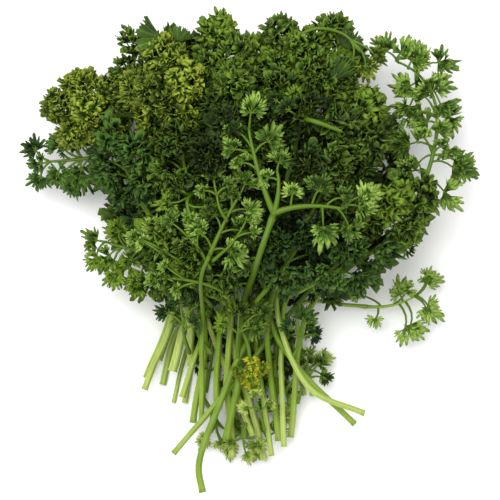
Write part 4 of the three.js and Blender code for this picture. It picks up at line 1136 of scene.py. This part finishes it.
for owner, plant in enumerate(plants):
    parts = leafParts([i for i, leaf in enumerate(leaflets)
                       if leaf["owner"] == owner and leaf["spray"] != "side"])
    radii = plant.get("radii", (layout["forkRadius"], layout["armTipRadius"]))
    radius = np.linspace(*radii, rachisShape["steps"])
    for arm in plant["arms"]:
        path = spaced(arm, rachisShape["steps"])
        points, faces, _ = tubes(path[None], radius[None], plant["basis"][2:], rachisShape["sides"],
                                 rachisShape["ribs"], rachisShape["ribDepth"])
        green = plant.get("stemGreen", rachisShape["green"])
        parts.append((points, faces, plainData(points.shape[1], green), 1))
    name = f"frond_{owner + 1:02d}" if "end" in plant else f"{plant['name']}_blades"
    makePiece(name, parts, [leafMaterials[plant["look"]], stalkGreen], leafColours[plant["look"]][0],
              [] if "path" in plant else [plant["name"]])
for look in ("green", "yellow", "blue", "light"):
    alike = [i for i, leaf in enumerate(leaflets)
             if leaf["spray"] == "side" and plants[leaf["owner"]]["look"] == look]
    for half in ("left", "right"):
        held = [i for i in alike if (centres[i, 0] >= 0) == (half == "right")]
        if held:
            makePiece(f"side_leaves_{look}_{half}", leafParts(held), [leafMaterials[look], stalkGreen],
                      leafColours[look][0])

# Broad single leaves seen from their veined side: foot, the way they grow, the way they face, length; and
# the stem that each hangs on.
broadLeaves = [
    ((-46.8, 112, 66), (-1, -0.06, -0.12), (-0.1, 0, 1), 15),
    ((-38, 110, 64), (0.3, 1, -0.1), (0, -0.1, 1), 9),
    ((44, 90, 70), (0.5, 1, -0.15), (0, -0.1, 1), 14), ((50, 107, 58), (0.6, 1, -0.3), (0, 0, 1), 11),
]
broadStems = [((-34, 101, 58), (-40, 108, 65)), ((-32, 98, 58), (-34, 105, 64)),
              ((40, 76, 66), (41, 84, 70)), ((44, 96, 56), (46, 102, 58))]
broadShape = {"tip": 0.6, "vein": 2.0, "veinEvery": 5, "stemSteps": 8, "stemSides": 8,
              "stemRadii": (0.9, 0.5)}
foot, way, facing, span = (np.array(value, float) for value in zip(*broadLeaves))
count, columns, rows = len(foot), len(blades["broad"]["rim"]), blades["broad"]["rows"]
way = unit(way)
broadPoints, broadData = bladeSurface(blades["broad"], foot, way, squareTo(way, facing), span)
broadData["tip"] *= broadShape["tip"]
veins = np.broadcast_to(np.arange(columns) % broadShape["veinEvery"] == 0, (rows, columns))
veins = veins * broadShape["vein"]
broadData["vein"] = np.tile(np.append(veins.ravel(), veins[1:-1, 1:-1].ravel()), (count, 1))
stemPaths = np.stack([resampled([*stem, end], broadShape["stemSteps"])
                      for stem, end in zip(broadStems, foot)])
stemRadii = np.tile(np.linspace(*broadShape["stemRadii"], broadShape["stemSteps"]), (count, 1))
stemPoints, stemFaces, _ = tubes(stemPaths, stemRadii, np.tile(np.array(up, float), (count, 1)),
                                 broadShape["stemSides"])
makePiece("broad_leaves", [
    (broadPoints, repeated(oneSheet["broad"], count, broadPoints.shape[1]), broadData, 0),
    (stemPoints, stemFaces, plainData(stemPoints.shape[0] * stemPoints.shape[1]), 1),
], [leafMaterials["light"], stalkGreen], leafColours["light"][0])
print("fronds and side leaves made")

# The floor is a pale square about the origin, the sky and the lamp are white; lengths are metres here.
stage = {"floorEdge": 1.5, "floorColour": (247, 247, 246), "floorRough": 0.9, "sky": 1.0, "key": 24.0,
         "keyPlace": (-0.3, 0.5, 1.6), "keySize": 1.2}
edge = stage["floorEdge"]
floorMesh = bpy.data.meshes.new("floor")
corners = [(-edge, -edge, 0), (edge, -edge, 0), (edge, edge, 0), (-edge, edge, 0)]
floorMesh.from_pydata(corners, [], [(0, 1, 2, 3)])
floorMaterial, tree, shader = newMaterial("pale_floor")
fill(tree, shader, Base_Color=linear(stage["floorColour"]), Roughness=stage["floorRough"])
floorMesh.materials.append(floorMaterial)
newObject("floor", floorMesh)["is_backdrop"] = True

world = bpy.data.worlds.new("soft_sky")
world.use_nodes = True
fill(world.node_tree, world.node_tree.nodes["Background"], Color=(1, 1, 1, 1), Strength=stage["sky"])
bpy.context.scene.world = world

light = bpy.data.lights.new("key_light", "AREA")
light.shape = "DISK"
light.size = stage["keySize"]
light.energy = stage["key"]
lamp = newObject("key_light", light)
lamp.location = stage["keyPlace"]
lamp.rotation_euler = lamp.location.to_track_quat("Z", "Y").to_euler()

view = {"height": 1.6, "wide": 0.27, "middleHeight": 0.03, "sensor": 36}  # how much is seen at middle height
lens = bpy.data.cameras.new("camera")
lens.sensor_width = view["sensor"]
lens.lens = view["sensor"] * (view["height"] - view["middleHeight"]) / view["wide"]
camera = newObject("camera", lens)
camera.location = (0, 0, view["height"])
bpy.context.scene.camera = camera
bpy.context.scene.view_settings.view_transform = "Standard"

sizes = {piece.name: len(piece.data.polygons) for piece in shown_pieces() if piece.type == "MESH"}
print(f"{sum(sizes.values())} faces in all, at most {max(sizes.values())} in a piece")
print("scene ready")
